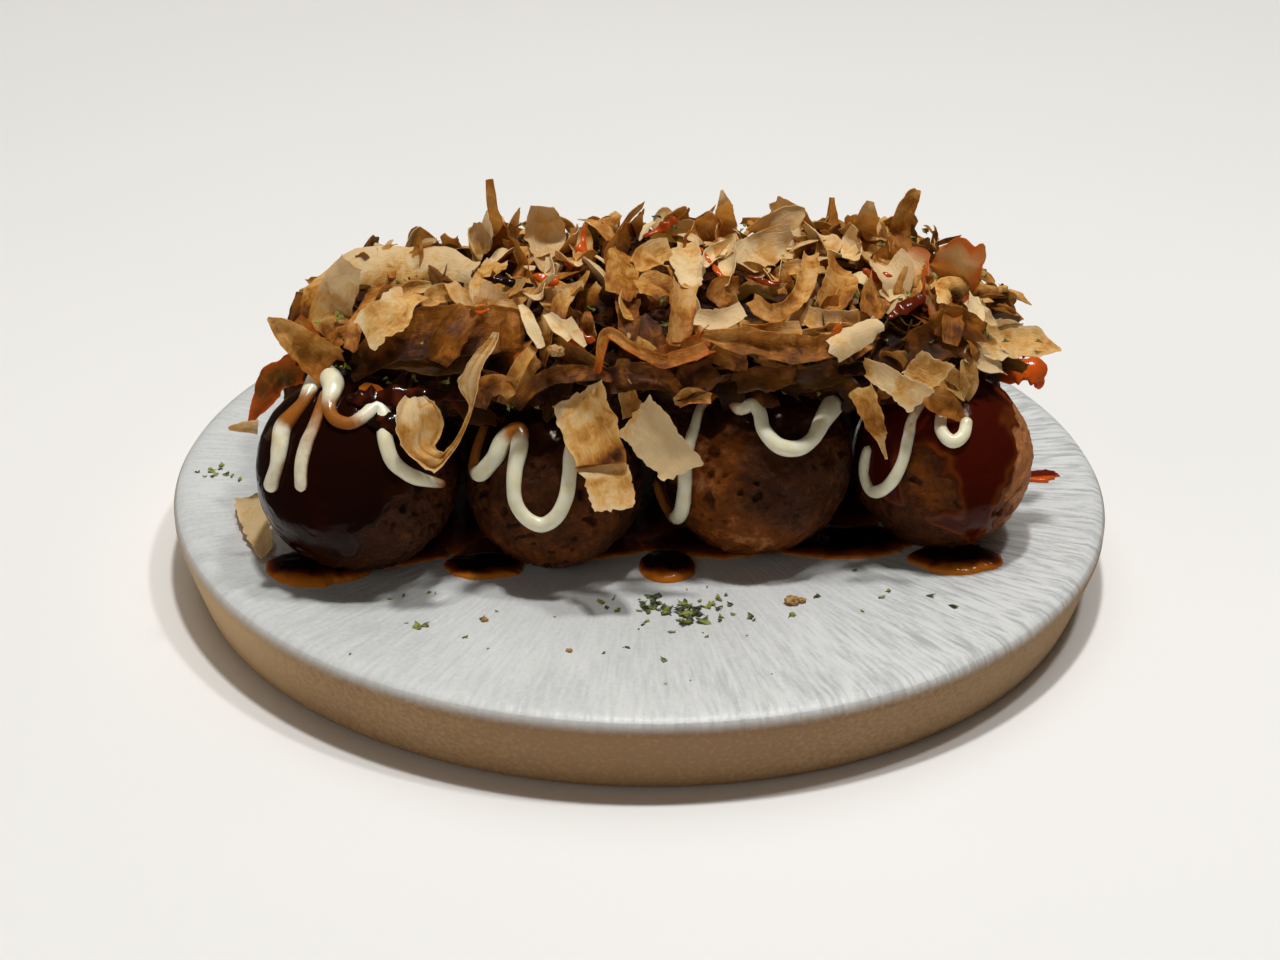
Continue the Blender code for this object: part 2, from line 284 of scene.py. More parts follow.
def make_plate():
    deselect()
    size = {"vertices": PLATE_SEGMENTS, "radius": plate_radius, "depth": plate_top}
    bpy.ops.mesh.primitive_cylinder_add(end_fill_type="NGON", **size)
    plate = bpy.context.object
    plate.name = "stoneware_plate"
    plate.data.transform(Matrix.Translation((0.0, 0.0, plate_top / 2)))
    bpy.ops.object.mode_set(mode="EDIT")
    bpy.ops.mesh.select_mode(type="FACE")
    bpy.ops.mesh.select_all(action="DESELECT")
    bpy.ops.object.mode_set(mode="OBJECT")
    for face in plate.data.polygons:
        face.select = face.normal.z > 0.9
    bpy.ops.object.mode_set(mode="EDIT")
    ring_width = plate_radius / (PLATE_RINGS + 0.5)
    for ring in range(PLATE_RINGS):
        bpy.ops.mesh.inset(thickness=ring_width)
    bpy.ops.mesh.poke()
    bpy.ops.mesh.select_all(action="DESELECT")
    bpy.ops.object.mode_set(mode="OBJECT")
    for edge in plate.data.edges:
        ends = [plate.data.vertices[i].co.z for i in edge.vertices]
        edge.select = abs(ends[0] - ends[1]) > plate_top / 2
    bpy.ops.object.mode_set(mode="EDIT")
    bpy.ops.mesh.subdivide_edgering(number_cuts=PLATE_SIDE_CUTS, smoothness=0.0)
    bpy.ops.object.mode_set(mode="OBJECT")
    shape_plate_side(plate)
    return plate


def shape_plate_side(plate):
    """Leans the side in towards the table, rounds both edges and raises the ridges."""
    foot_radius = plate_radius - FOOT_INSET
    flare = plate_radius - foot_radius
    edge = PLATE_EDGE
    for vertex in plate.data.vertices:
        place = vertex.co
        radius = math.hypot(place.x, place.y)
        if place.z > plate_top - 1e-6:
            target = min(radius, plate_radius - edge)
            fall = max(0.0, radius - (plate_radius - edge)) / edge
            target += edge * math.sin(fall * math.pi / 4)
            height = place.z - edge * (1 - math.cos(fall * math.pi / 4))
            height += ridges(place) * (1.0 - min(fall, 1.0))
        else:
            share = place.z / plate_top
            height = min(share * plate_top, plate_top - edge * 0.3)
            target = foot_radius + flare * min(1.0, height / (plate_top - edge))
            rounding = max(0.0, FOOT_EDGE - height)
            target -= rounding ** 2 / FOOT_EDGE
            over = max(0.0, height - (plate_top - edge))
            target -= edge - math.sqrt(max(edge * edge - over * over, 0.0))
        if radius > 1e-6:
            place.x *= target / radius
            place.y *= target / radius
        place.z = height


def stoneware():
    finish = Finish("glazed_and_bare_stoneware")
    height = finish.axis(finish.place, "Z")
    flat = finish.vector("MULTIPLY", finish.place, (1.0, 1.0, 0.0))
    radius = finish.vector("LENGTH", flat, output="Value")
    spread = RIDGE_SPREAD * plate_radius / RIDGE_PITCH
    turn = finish.vector("MULTIPLY", finish.vector("NORMALIZE", flat), (spread, spread, 0.0))
    reach = finish.node("ShaderNodeCombineXYZ", None, {"Z": radius / RIDGE_LENGTH})
    comb = finish.grain(COMB_SIZE, 2.0, 0.5, 0.35, finish.vector("ADD", turn, reach))
    speck = finish.grain(0.35 * MM, 2.0)
    sand = finish.grain(1.0 * MM, 3.0, 0.6)
    cloud = finish.grain(22 * MM, 3.0)
    rightward = finish.axis(flat, "X") / plate_radius
    leftward = 0.0 - rightward
    frontward = 0.0 - finish.axis(flat, "Y") / plate_radius
    # Painted shade greys the glaze in the grooves of its relief, more towards the rim and the
    # right.
    combed = radius.rise(plate_radius * 0.45, plate_radius * 0.9) * 0.8 + 0.2
    groove = (comb - 0.5) * (combed * (rightward.rise(-0.2, 0.9) * 0.75 + 0.22)) + 0.5
    groove_shade_and_cloud = cloud * 0.4 + (0.5 - groove) * 2.1 + sand * 0.4 - 0.1
    glaze = finish.mix(groove_shade_and_cloud.rise(0.0, 0.8), GLAZE_WHITE, GLAZE_GREY)
    # Painted shade darkens the bare side at the front; painted light brightens it at the left and
    # right.
    sand_and_front_shade = (sand - frontward.rise(0.86, 1.0) * 0.16).rise(0.3, 0.7)
    bare = finish.mix(sand_and_front_shade, BARE_BROWN, BARE_TAN)
    lit = leftward.rise(0.55, 0.92) * 0.95 + rightward.rise(0.5, 0.95) * 0.28
    bare = finish.mix(lit, bare, BARE_LIGHT)
    edge = height + sand * (0.7 * MM)
    glazed = edge.rise(plate_top - GLAZE_STOP, plate_top - 0.1 * MM)
    finish.set(Base_Color=finish.mix(glazed, bare, glaze))
    finish.set(Roughness=0.70 - glazed * 0.36 + speck * 0.12)
    finish.bump((speck * 0.5 + sand * 0.7) * 0.55 + groove * glazed * 1.2, GLAZE_RELIEF)
    return finish


stoneware_plate = make_plate()
stoneware_plate.data.shade_smooth()
finished(stoneware_plate, stoneware(), "stoneware", "plate")

# The balls: eight rounds of batter turned over and over in a dimpled iron pan until they brown.
# Their crust is wrinkled and pitted. A dark sweet sauce is brushed over them, and its film ends in
# a rounded edge. Each ball sits on a small flat that its own weight gives it.
ROW_TURN = math.radians(6.3)
GROUP_CENTRE = Vector((2.0, -12.0, 0.0)) * MM
BALL_SEAT = 0.93
BALL_RAISE = 0.3
BALL_LUMP = 0.018
FRONT_DETAIL = 7
BACK_DETAIL = 6
FILM_DEPTH = 0.55
FILM_EDGE = 5.0
FILM_WANDER = 9.0
FILM_BEAD = 3.0
FILM_SMOOTHS = 0.85
WRINKLE_TOP = 0.34
WRINKLE_SIZE = 5.0
FINE_WRINKLE = 0.45
FINE_WRINKLE_SIZE = 2.3
BLISTER_HEIGHT = 0.20
BLISTER_SIZE = 1.5
PORE_DEPTH = 0.65
PORE_SIZE = 2.1
PORE_LIMITS = (0.26, 0.44)
PORE_PATCHES = 9.0
PORE_PATCH_LIMITS = (-0.15, 0.25)
TONE_BLOTCH = 0.16
TONE_BLOTCH_SIZE = 4.2
TONE_FLECK = 0.12
TONE_FLECK_SIZE = 1.6
SEED_STEP = 3.1
BALLS = {
    "front_1": (-60.9, -18.5, 20.3),
    "front_2": (-21.7, -21, 17.9),
    "front_3": (19.3, -18.3, 19.9),
    "front_4": (58.6, -18.6, 18.3),
    "back_1": (-58.4, 21, 18.2),
    "back_2": (-20.2, 17.9, 19),
    "back_3": (19.8, 20.6, 18.2),
    "back_4": (59.2, 19.6, 19),
}
# Where each ball wears sauce: azimuth, elevation and reach in degrees. A negative reach keeps the
# crust bare there.
FILMS = {
    "front_1": ((-100, 40, 60), (0, 70, 62), (-30, 5, 52), (58, -26, -44), (20, -75, -30)),
    "front_2": ((-78, 38, 27), (-30, 78, 36), (-10, 62, 20), (40, 60, 22)),
    "front_3": ((-5, 78, 34), (-38, 46, 15), (-52, -8, 12), (32, 60, 20), (58, 42, 16)),
    "front_4": ((0, 60, 80), (-50, 10, 60), (30, 0, 50), (98, -15, -60), (-14, 0, -13),
        (-21, 20, -9), (-40, -44, -34)),
    "back_1": ((0, 80, 55), (-120, 30, 30), (170, 20, 22)),
    "back_2": ((0, 85, 50), (150, 35, 30), (-170, 5, 16)),
    "back_3": ((0, 80, 48), (-160, 30, 30), (140, 10, 18)),
    "back_4": ((60, 70, 60), (110, 25, 30), (170, 30, 26), (75, 25, 22)),
}
# How light the crust is: azimuth, elevation, reach and how much it gains or loses.
TONES = {
    "front_1": ((0, 0, 400, 0.12), (52, -20, 34, 0.3), (-15, -12, 18, 0.12)),
    "front_2": ((0, 0, 400, 0.25), (-4, 26, 24, 0.08), (8, -34, 34, 0.35), (36, 6, 18, 0.4),
        (-50, -15, 25, 0.1)),
    "front_3": ((0, 0, 400, 0.36), (-36, 8, 24, 0.5), (-30, 30, 18, 0.3), (-2, -36, 30, 0.62),
        (12, 6, 24, -0.3), (22, 46, 16, -0.4)),
    "front_4": ((0, 0, 400, 0.3), (-12, 0, 17, 0.42), (-21, 19, 10, 0.3), (92, 2, 42, 2.6),
        (-30, -35, 30, -0.1)),
    "back_1": ((0, 0, 400, 0.3), (170, -10, 40, 0.4)),
    "back_2": ((0, 0, 400, 0.35), (150, -25, 35, 0.5)),
    "back_3": ((0, 0, 400, 0.3), (-170, 0, 40, 0.4)),
    "back_4": ((0, 0, 400, 0.35), (140, -15, 40, 0.5)),
}
CRUST_DARK = (0.016, 0.0052, 0.0022)
CRUST_BROWN = (0.062, 0.0170, 0.0040)
CRUST_ORANGE = (0.20, 0.052, 0.0050)
CRUST_PALE = (0.44, 0.170, 0.058)
SAUCE_DEEP = (0.0110, 0.0026, 0.0012)
SAUCE_RED = (0.050, 0.0046, 0.0016)
SAUCE_AMBER = (0.30, 0.085, 0.012)
SHEEN_WARM = (1.0, 0.86, 0.74)


def group_point(along, across, up):
    """A place in the group of balls, in millimetres, as a point of the frame."""
    return GROUP_CENTRE + Matrix.Rotation(ROW_TURN, 3, "Z") @ (Vector((along, across, up)) * MM)


def facing(azimuth, elevation):
    """The unit vector of an azimuth, 0 towards the diner and 90 to the right, and an elevation."""
    turn, lift = math.radians(azimuth), math.radians(elevation)
    level = math.cos(lift)
    return Vector((math.sin(turn) * level, -math.cos(turn) * level, math.sin(lift)))


def read_places(piece):
    places = np.empty(len(piece.data.vertices) * 3)
    piece.data.vertices.foreach_get("co", places)
    return places.reshape(-1, 3)


def write_places(piece, places):
    piece.data.vertices.foreach_set("co", np.asarray(places, dtype=float).ravel())
    piece.data.update()


def unit(rows):
    return rows / np.maximum(np.linalg.norm(rows, axis=1), 1e-9)[:, None]


def round_blank(name, detail):
    """A ball of one metre's radius, from which a lumpy piece is shaped."""
    deselect()
    bpy.ops.mesh.primitive_ico_sphere_add(subdivisions=detail, radius=1.0)
    blank = bpy.context.object
    blank.name = name
    blank.data.shade_smooth()
    return blank


def paint(piece, name, values):
    """Keeps one number for each vertex, which the material reads."""
    layer = piece.data.attributes.new(name, "FLOAT", "POINT")
    layer.data.foreach_set("value", np.asarray(values, dtype=float))


def mottle(places, shift=0.0):
    """Smooth noise between about -1 and 1 at each place."""
    return np.array([noise.noise(place) for place in (places + shift).tolist()])


def ease(values, low, high):
    """0 below low, 1 above high and a smooth slope between."""
    share = np.clip((values - low) / (high - low), 0.0, 1.0)
    return share * share * (3.0 - 2.0 * share)


def angle_from(ways, azimuth, elevation):
    """Degrees between each unit vector and a direction."""
    return np.degrees(np.arccos(np.clip(ways @ np.array(facing(azimuth, elevation)), -1.0, 1.0)))


def ball_place(name):
    """A ball's centre, its radius in millimetres and the seed of its lumps."""
    along, across, radius = BALLS[name]
    centre = group_point(along, across, 0.0)
    centre.z = plate_top + (BALL_RAISE + BALL_SEAT * radius) * MM
    return centre, radius, SEED_STEP * list(BALLS).index(name)


def ball_swell(ways, seed):
    """How much longer than its radius the ball is in each direction."""
    return 1.0 + BALL_LUMP * mottle(ways * 1.7, np.array((seed, seed * 0.5, -seed)))


def film_over(name, ways, seed):
    """How far inside the sauce's edge each direction lies, in degrees."""
    cover = np.full(len(ways), -90.0)
    for azimuth, elevation, reach in FILMS[name]:
        angle = angle_from(ways, azimuth, elevation)
        cover = np.maximum(cover, reach - angle) if reach > 0 else np.minimum(cover, angle + reach)
    cover = cover + FILM_WANDER * mottle(ways * 3.2, seed)
    return cover + 0.4 * FILM_WANDER * mottle(ways * 8.0, seed)


def make_ball(name):
    centre, radius, seed = ball_place(name)
    detail = FRONT_DETAIL if name.startswith("front") else BACK_DETAIL
    ball = round_blank(f"takoyaki_{name}", detail)
    ways = unit(read_places(ball))
    skin = ways * radius
    cover = film_over(name, ways, seed)
    film = ease(cover, 0.0, FILM_EDGE)
    bead = np.exp(-((cover - FILM_EDGE) / FILM_BEAD) ** 2)
    crust = WRINKLE_TOP - np.abs(mottle(skin / WRINKLE_SIZE, seed))
    crust -= FINE_WRINKLE * np.abs(mottle(skin / FINE_WRINKLE_SIZE, -seed))
    crust += BLISTER_HEIGHT * mottle(skin / BLISTER_SIZE, 2 * seed)
    pore = ease(mottle(skin / PORE_SIZE, 7.7 + seed), *PORE_LIMITS)
    pore *= ease(mottle(skin / PORE_PATCHES, 3.3 - seed), *PORE_PATCH_LIMITS)
    crust -= PORE_DEPTH * pore
    rise = crust * (1.0 - FILM_SMOOTHS * film) + FILM_DEPTH * (0.75 * film + 0.45 * bead)
    rise += film * 0.10 * mottle(skin / 6.0, 1.1)
    places = ways * (radius * ball_swell(ways, seed) + rise)[:, None]
    places[:, 2] = np.maximum(places[:, 2], -BALL_SEAT * radius)
    tone = TONE_BLOTCH * mottle(skin / TONE_BLOTCH_SIZE, 5.5 + seed)
    tone += TONE_FLECK * mottle(skin / TONE_FLECK_SIZE, 8.5)
    for azimuth, elevation, reach, gain in TONES[name]:
        tone += gain * np.exp(-(angle_from(ways, azimuth, elevation) / reach) ** 2)
    write_places(ball, places * MM + np.array(centre))
    paint(ball, "film", film)
    paint(ball, "edge", bead * film)
    paint(ball, "tone", tone)
    # The pits are kept for the painted shade that darkens the crust in them.
    paint(ball, "pore", pore * (1.0 - film))
    paint(ball, "red", (0.85 if name == "front_4" else 0.12) + 0.2 * mottle(ways * 2.0, seed))
    return ball


def batter():
    finish = Finish("fried_batter_under_sauce")
    film, edge, red = (finish.attribute(name) for name in ("film", "edge", "red"))
    tone, pore = finish.attribute("tone"), finish.attribute("pore")
    fleck = finish.grain(0.9 * MM, 4.0, 0.7)
    blotch = finish.grain(3.4 * MM, 3.0, 0.6)
    # Painted shade darkens the crust in its pits.
    lightness = tone + fleck * 0.6 + blotch * 0.75 - 0.68 - pore * 0.4
    stops = ((0.0, CRUST_DARK), (0.42, CRUST_BROWN), (0.8, CRUST_ORANGE), (1.0, CRUST_PALE))
    crust = finish.ramp(lightness * 0.78 + 0.12, *stops)
    sauce = finish.mix((red + blotch * 0.3 - 0.15).rise(0.1, 0.9), SAUCE_DEEP, SAUCE_RED)
    sauce = finish.mix(edge * 0.25 * red, sauce, SAUCE_AMBER)
    finish.set(Base_Color=finish.mix(film.rise(0.05, 0.75), crust, sauce))
    finish.set(Roughness=0.27 + fleck * 0.2 - film * 0.29)
    finish.set(Specular_IOR_Level=0.13, Specular_Tint=SHEEN_WARM)
    finish.bump((fleck + blotch * 0.4) * (1 - film * 0.92), 0.55 * MM)
    return finish


batter_finish = batter()
for ball_name in BALLS:
    finished(make_ball(ball_name), batter_finish, "batter", f"ball_{ball_name}")


# The mayonnaise: piped across each row from a narrow nozzle, so it lies over the balls in one thin
# rope that loops down their faces. It is thick and smooth, and the brown sauce has crept over it in
# places and stained it.
MAYO_WIDTH = 2.9
MAYO_SINK = 0.30
MAYO_FLAT = 0.88
MAYO_SIDES = 20
MAYO_STEP = 0.45
MAYO_WAVER = 0.06
MAYO_LIFT = 0.35
MAYO_CREEP = 0.42
MAYO_PATCHES = 4.5
# Along each rope: azimuth and elevation on its ball, then its width in millimetres and how stained
# it is.
MAYO_LINES = {
    "front_1": ((-50, 5, 3.2, 0.22), (-47, 20, 3.2, 0.28), (-50, 30, 3.7, 0.22), (-56, 39, 4, 0.38),
        (-57, 48, 3.4, 1), (-60, 57, 2.8, 0.7), (-75, 65, 3.6, 0.1), (-105, 70, 4.4, 0.1),
        (-45, 74, 4.6), (-27, 61, 3, 0.5), (-15, 54, 2.6, 0.9), (-1, 52, 2.6, 0.7),
        (12, 56, 2.9, 0.3), (28, 60, 3.6), (29, 51, 3.4), (25, 42, 3.2), (26, 31, 3.1), (31, 24, 3),
        (40, 17, 2.9, 0.1), (60, 6, 1.6, 0.8)),
    "front_1_inner": ((-42, 70, 3, 0.6), (-34, 57, 2.4, 0.7), (-31, 46, 2.6, 0.5),
        (-31, 38, 2.8, 0.4), (-30, 27, 2.8, 0.3), (-27, 12, 2.6, 0.35)),
    "front_2": ((-107, 46, 2.2, 1), (-80, 40, 2.2, 0.9), (-69, 28, 2.4, 0.9), (-62, 19, 2.8, 0.7),
        (-53, 20, 3.6, 0.1), (-46, 32, 3.8), (-45, 44, 3.9, 0.3), (-37, 53, 3.6, 1),
        (-28, 43, 3.6, 0.2), (-26, 28, 3.2), (-23, 12, 3), (-16, 2, 3), (-6, -2, 3.2), (3, 4, 3.1),
        (9, 16, 3), (12, 29, 3), (15, 41, 3.1), (23, 52, 3, 0.3)),
    "front_3": ((-84, -12, 1.8, 0.6), (-77, -23, 2.2, 0.8), (-66, -28, 2.6, 0.8),
        (-54, -23, 3.1, 0.3), (-45, -11, 3.2), (-43, 3, 3.1), (-45, 15, 2.9), (-48, 36, 2.4, 0.2),
        (-54, 48, 2.2, 0.5), (-50, 60, 2.2, 1), (-32, 60, 2.6, 1), (-18, 54, 2.9, 0.35),
        (-6, 57, 2.9, 0.1), (1, 52, 2.9), (4, 42, 3), (13, 33, 3.2), (26, 30, 3.2), (39, 33, 3.2),
        (55, 40, 3.8), (80, 42, 5.2, 0.15)),
    "front_4": ((-64, 20, 2.2), (-63, 10, 2.4), (-61, 1, 2.5), (-54, -6, 2.6), (-45, -2, 2.6),
        (-37, 8, 2.6), (-33, 21, 2.5, 0.1), (-34, 35, 2.4, 0.25), (-37, 48, 2.1, 0.4),
        (-32, 64, 1.9, 0.6), (-14, 60, 2.1, 0.6), (-10, 44, 2.6, 0.35), (-1, 37, 2.8, 0.05),
        (8, 41, 2.7, 0.1), (14, 52, 2.5, 0.4)),
    "back_1": ((-128, 58), (-140, 30), (-160, 14), (-178, 30, 3.2, 0.2), (176, 56)),
    "back_2": ((-134, 60), (-150, 36), (-168, 22, 3.2), (174, 36), (166, 60, 2.6, 0.5)),
    "back_3": ((-166, 62), (-172, 34), (172, 8, 3.3), (152, 10, 3.1), (142, 36, 2.7, 0.3),
        (134, 60)),
    "back_4": ((168, 60), (162, 34), (146, 20, 3.3), (128, 26), (114, 28, 3.2), (100, 14, 3.2),
        (86, 24, 3.4), (82, 52, 3.6)),
}
MAYO_CREAM = (0.88, 0.855, 0.67)
MAYO_YELLOW = (0.82, 0.76, 0.50)
MAYO_STAIN = (0.34, 0.115, 0.016)
MAYO_GLOW = (1.0, 0.7, 0.35)


def flow(stops, step):
    """Rows along a smooth curve through the stops. A row's first three numbers are its place."""
    stops = np.asarray(stops, dtype=float)
    ends = np.vstack((2 * stops[0] - stops[1], stops, 2 * stops[-1] - stops[-2]))
    rows = []
    for before, start, end, after in zip(ends, ends[1:], ends[2:], ends[3:]):
        count = max(2, round(float(np.linalg.norm((end - start)[:3])) / step))
        t = (np.arange(count) / count)[:, None]
        bend = (2 * before - 5 * start + 4 * end - after) * t ** 2
        bend += (3 * start - before - 3 * end + after) * t ** 3
        rows.append(0.5 * (2 * start + (end - before) * t + bend))
    return np.vstack(rows + [stops[-1:]])


def steps(places):
    """How far each place of a path lies from the one before it."""
    return np.linalg.norm(np.diff(places, axis=0), axis=1)


def make_rope(name, places, outwards, half_widths, half_heights, sides):
    """A closed rope along the places. It starts as a ball whose rings are strung along the path."""
    rings = len(places)
    deselect()
    bpy.ops.mesh.primitive_uv_sphere_add(segments=sides, ring_count=rings + 1, radius=1.0)
    rope = bpy.context.object
    rope.name = name
    ball = read_places(rope)
    fallen = np.arccos(np.clip(ball[:, 2], -1, 1)) / math.pi
    ring = np.clip(np.rint(fallen * (rings + 1)).astype(int), 0, rings + 1)
    turn = np.arctan2(ball[:, 1], ball[:, 0])
    on_path = np.clip(ring - 1, 0, rings - 1)
    along = unit(np.gradient(places, axis=0))
    side = unit(np.cross(along, outwards))
    lift = np.cross(side, along)
    within = ((ring > 0) & (ring <= rings)).astype(float)
    spread = side[on_path] * (np.cos(turn) * half_widths[on_path] * within)[:, None]
    spread += lift[on_path] * (np.sin(turn) * half_heights[on_path] * within)[:, None]
    tip = np.where(ring == 0, -0.25, np.where(ring > rings, 0.25, 0.0)) * half_widths[on_path]
    write_places(rope, places[on_path] + spread + along[on_path] * tip[:, None])
    rope.data.shade_smooth()
    return rope, on_path


def round_ends(distance, radius):
    """The share of full width that a rope has near its two rounded ends."""
    inset = np.minimum(distance, distance[-1] - distance) / radius
    return np.sqrt(np.clip(1.0 - (1.0 - np.clip(inset, 0.0, 1.0)) ** 2, 0.04, 1.0))


def make_mayo(name, stops, number):
    centre, radius, seed = ball_place("_".join(name.split("_")[:2]))
    stops = [tuple(stop) + (MAYO_WIDTH, 0.0)[len(stop) - 2:] for stop in stops]
    rows = flow([(*(facing(*stop[:2]) * radius), *stop[2:]) for stop in stops], MAYO_STEP)
    ways = unit(rows[:, :3])
    width = rows[:, 3] * (1.0 + MAYO_WAVER * mottle(ways * 5.0, number))
    skin = radius * ball_swell(ways, seed) + width * (0.5 - MAYO_SINK) + MAYO_LIFT
    places = ways * skin[:, None]
    distance = np.concatenate(([0.0], np.cumsum(steps(places))))
    half = width / 2 * round_ends(distance, width.mean() / 2)
    rope, ring = make_rope(f"mayonnaise_{name}", places, ways, half, half * MAYO_FLAT, MAYO_SIDES)
    height = ((read_places(rope) - places[ring]) * ways[ring]).sum(axis=1)
    skirt = 1.0 - height / (half[ring] * MAYO_FLAT)
    patches = ease(mottle(read_places(rope) / MAYO_PATCHES, number + 3.3), -0.3, 0.25)
    creep = MAYO_CREEP * ease(skirt, 0.55, 1.3) * patches
    paint(rope, "stain", np.clip(rows[ring, 4] + creep, 0.0, 1.0))
    write_places(rope, read_places(rope) * MM + np.array(centre))
    return rope


def mayonnaise():
    finish = Finish("mayonnaise_touched_by_sauce")
    stain = finish.attribute("stain")
    cloud = finish.grain(2.4 * MM, 2.0)
    creep = (stain * 1.25 + cloud * 0.5 - 0.42).rise(0.0, 0.75)
    cream = finish.mix(cloud.rise(0.35, 0.75), MAYO_CREAM, MAYO_YELLOW)
    finish.set(Base_Color=finish.mix(creep, cream, MAYO_STAIN))
    finish.set(Roughness=0.27 + cloud * 0.08 - creep * 0.12)
    finish.set(Subsurface_Weight=0.35, Subsurface_Radius=MAYO_GLOW, Subsurface_Scale=1.2 * MM)
    finish.set(Coat_Weight=0.3, Coat_Roughness=0.1)
    finish.bump(cloud, 0.12 * MM)
    return finish


mayonnaise_finish = mayonnaise()
for number, (line_name, line_stops) in enumerate(MAYO_LINES.items()):
    rope = make_mayo(line_name, line_stops, number)
    finished(rope, mayonnaise_finish, "mayonnaise", f"mayo_{line_name}")


# The heap: shavings of smoked bonito thrown over the hot balls by the handful. Each is a thin torn
# curl that lets the light through. The lowest are soaked brown in sauce, the top ones dry and pale,
# and under them lies the wet tangle of what has sunk into the sauce. Deep in the heap and low on
# each shaving the brown is also painted shade, and the creases carry painted shade and light.
HEAP_BASE = 34.0
HEAP_SHIFT = 2.0
HEAP_HALF_LENGTH = 73.0
HEAP_HALF_WIDTH = 31.0
HEAP_RISE = 23.0
HEAP_DROOP = 6.0
HEAP_SQUARENESS = 0.72
HEAP_LUMP = 0.12
HEAP_RIPPLE = 0.11
CORE_SHRINK = 5.0
CORE_DETAIL = 6
CORE_LUMP = 2.2
FLAKE_COLUMNS = 36
FLAKE_ROWS = 14
SMALL_COLUMNS = 11
SMALL_ROWS = 6
FLAKE_THICKNESS = 0.13 * MM
FLAKE_SMOOTH = math.radians(50)
FLAKE_STEP = 0.8
FLAKE_SEED_STEP = 2.3
FLAKE_TWIST = 0.5
FLAKE_TEAR = 0.22
FLAKE_TEAR_PACES = (3.4, 0.9, 2.6)
FLAKE_FINE_TEAR = 0.35
FLAKE_FOLDS = ((1.5, 5.0), (0.6, 2.0), (0.5, 4.0))
FLAKE_SKIN = 10.0
SHEET_CALM = (0.5, 0.9)
SMALL_SEED = 11
SMALL_SEED_STEP = 1.37
SMALL_LOWEST = 0.02
SMALL_SPREAD = 0.8
SMALL_CRUMPLE = (1.4, 0.9)
SMALL_CUPS = (-0.5, 0.9)
SMALL_REDS = (-0.12, 0.16)
SMALL_LOW_TONE = 0.46
# The dry small shavings keep clear of the large left sheets and of the heap's right tip: the span
# along, how far back, and how high.
LEFT_SHEETS = (-76, -34, 4)
RIGHT_TIP = (64, -6, 46)
DRY_TONE = 0.3
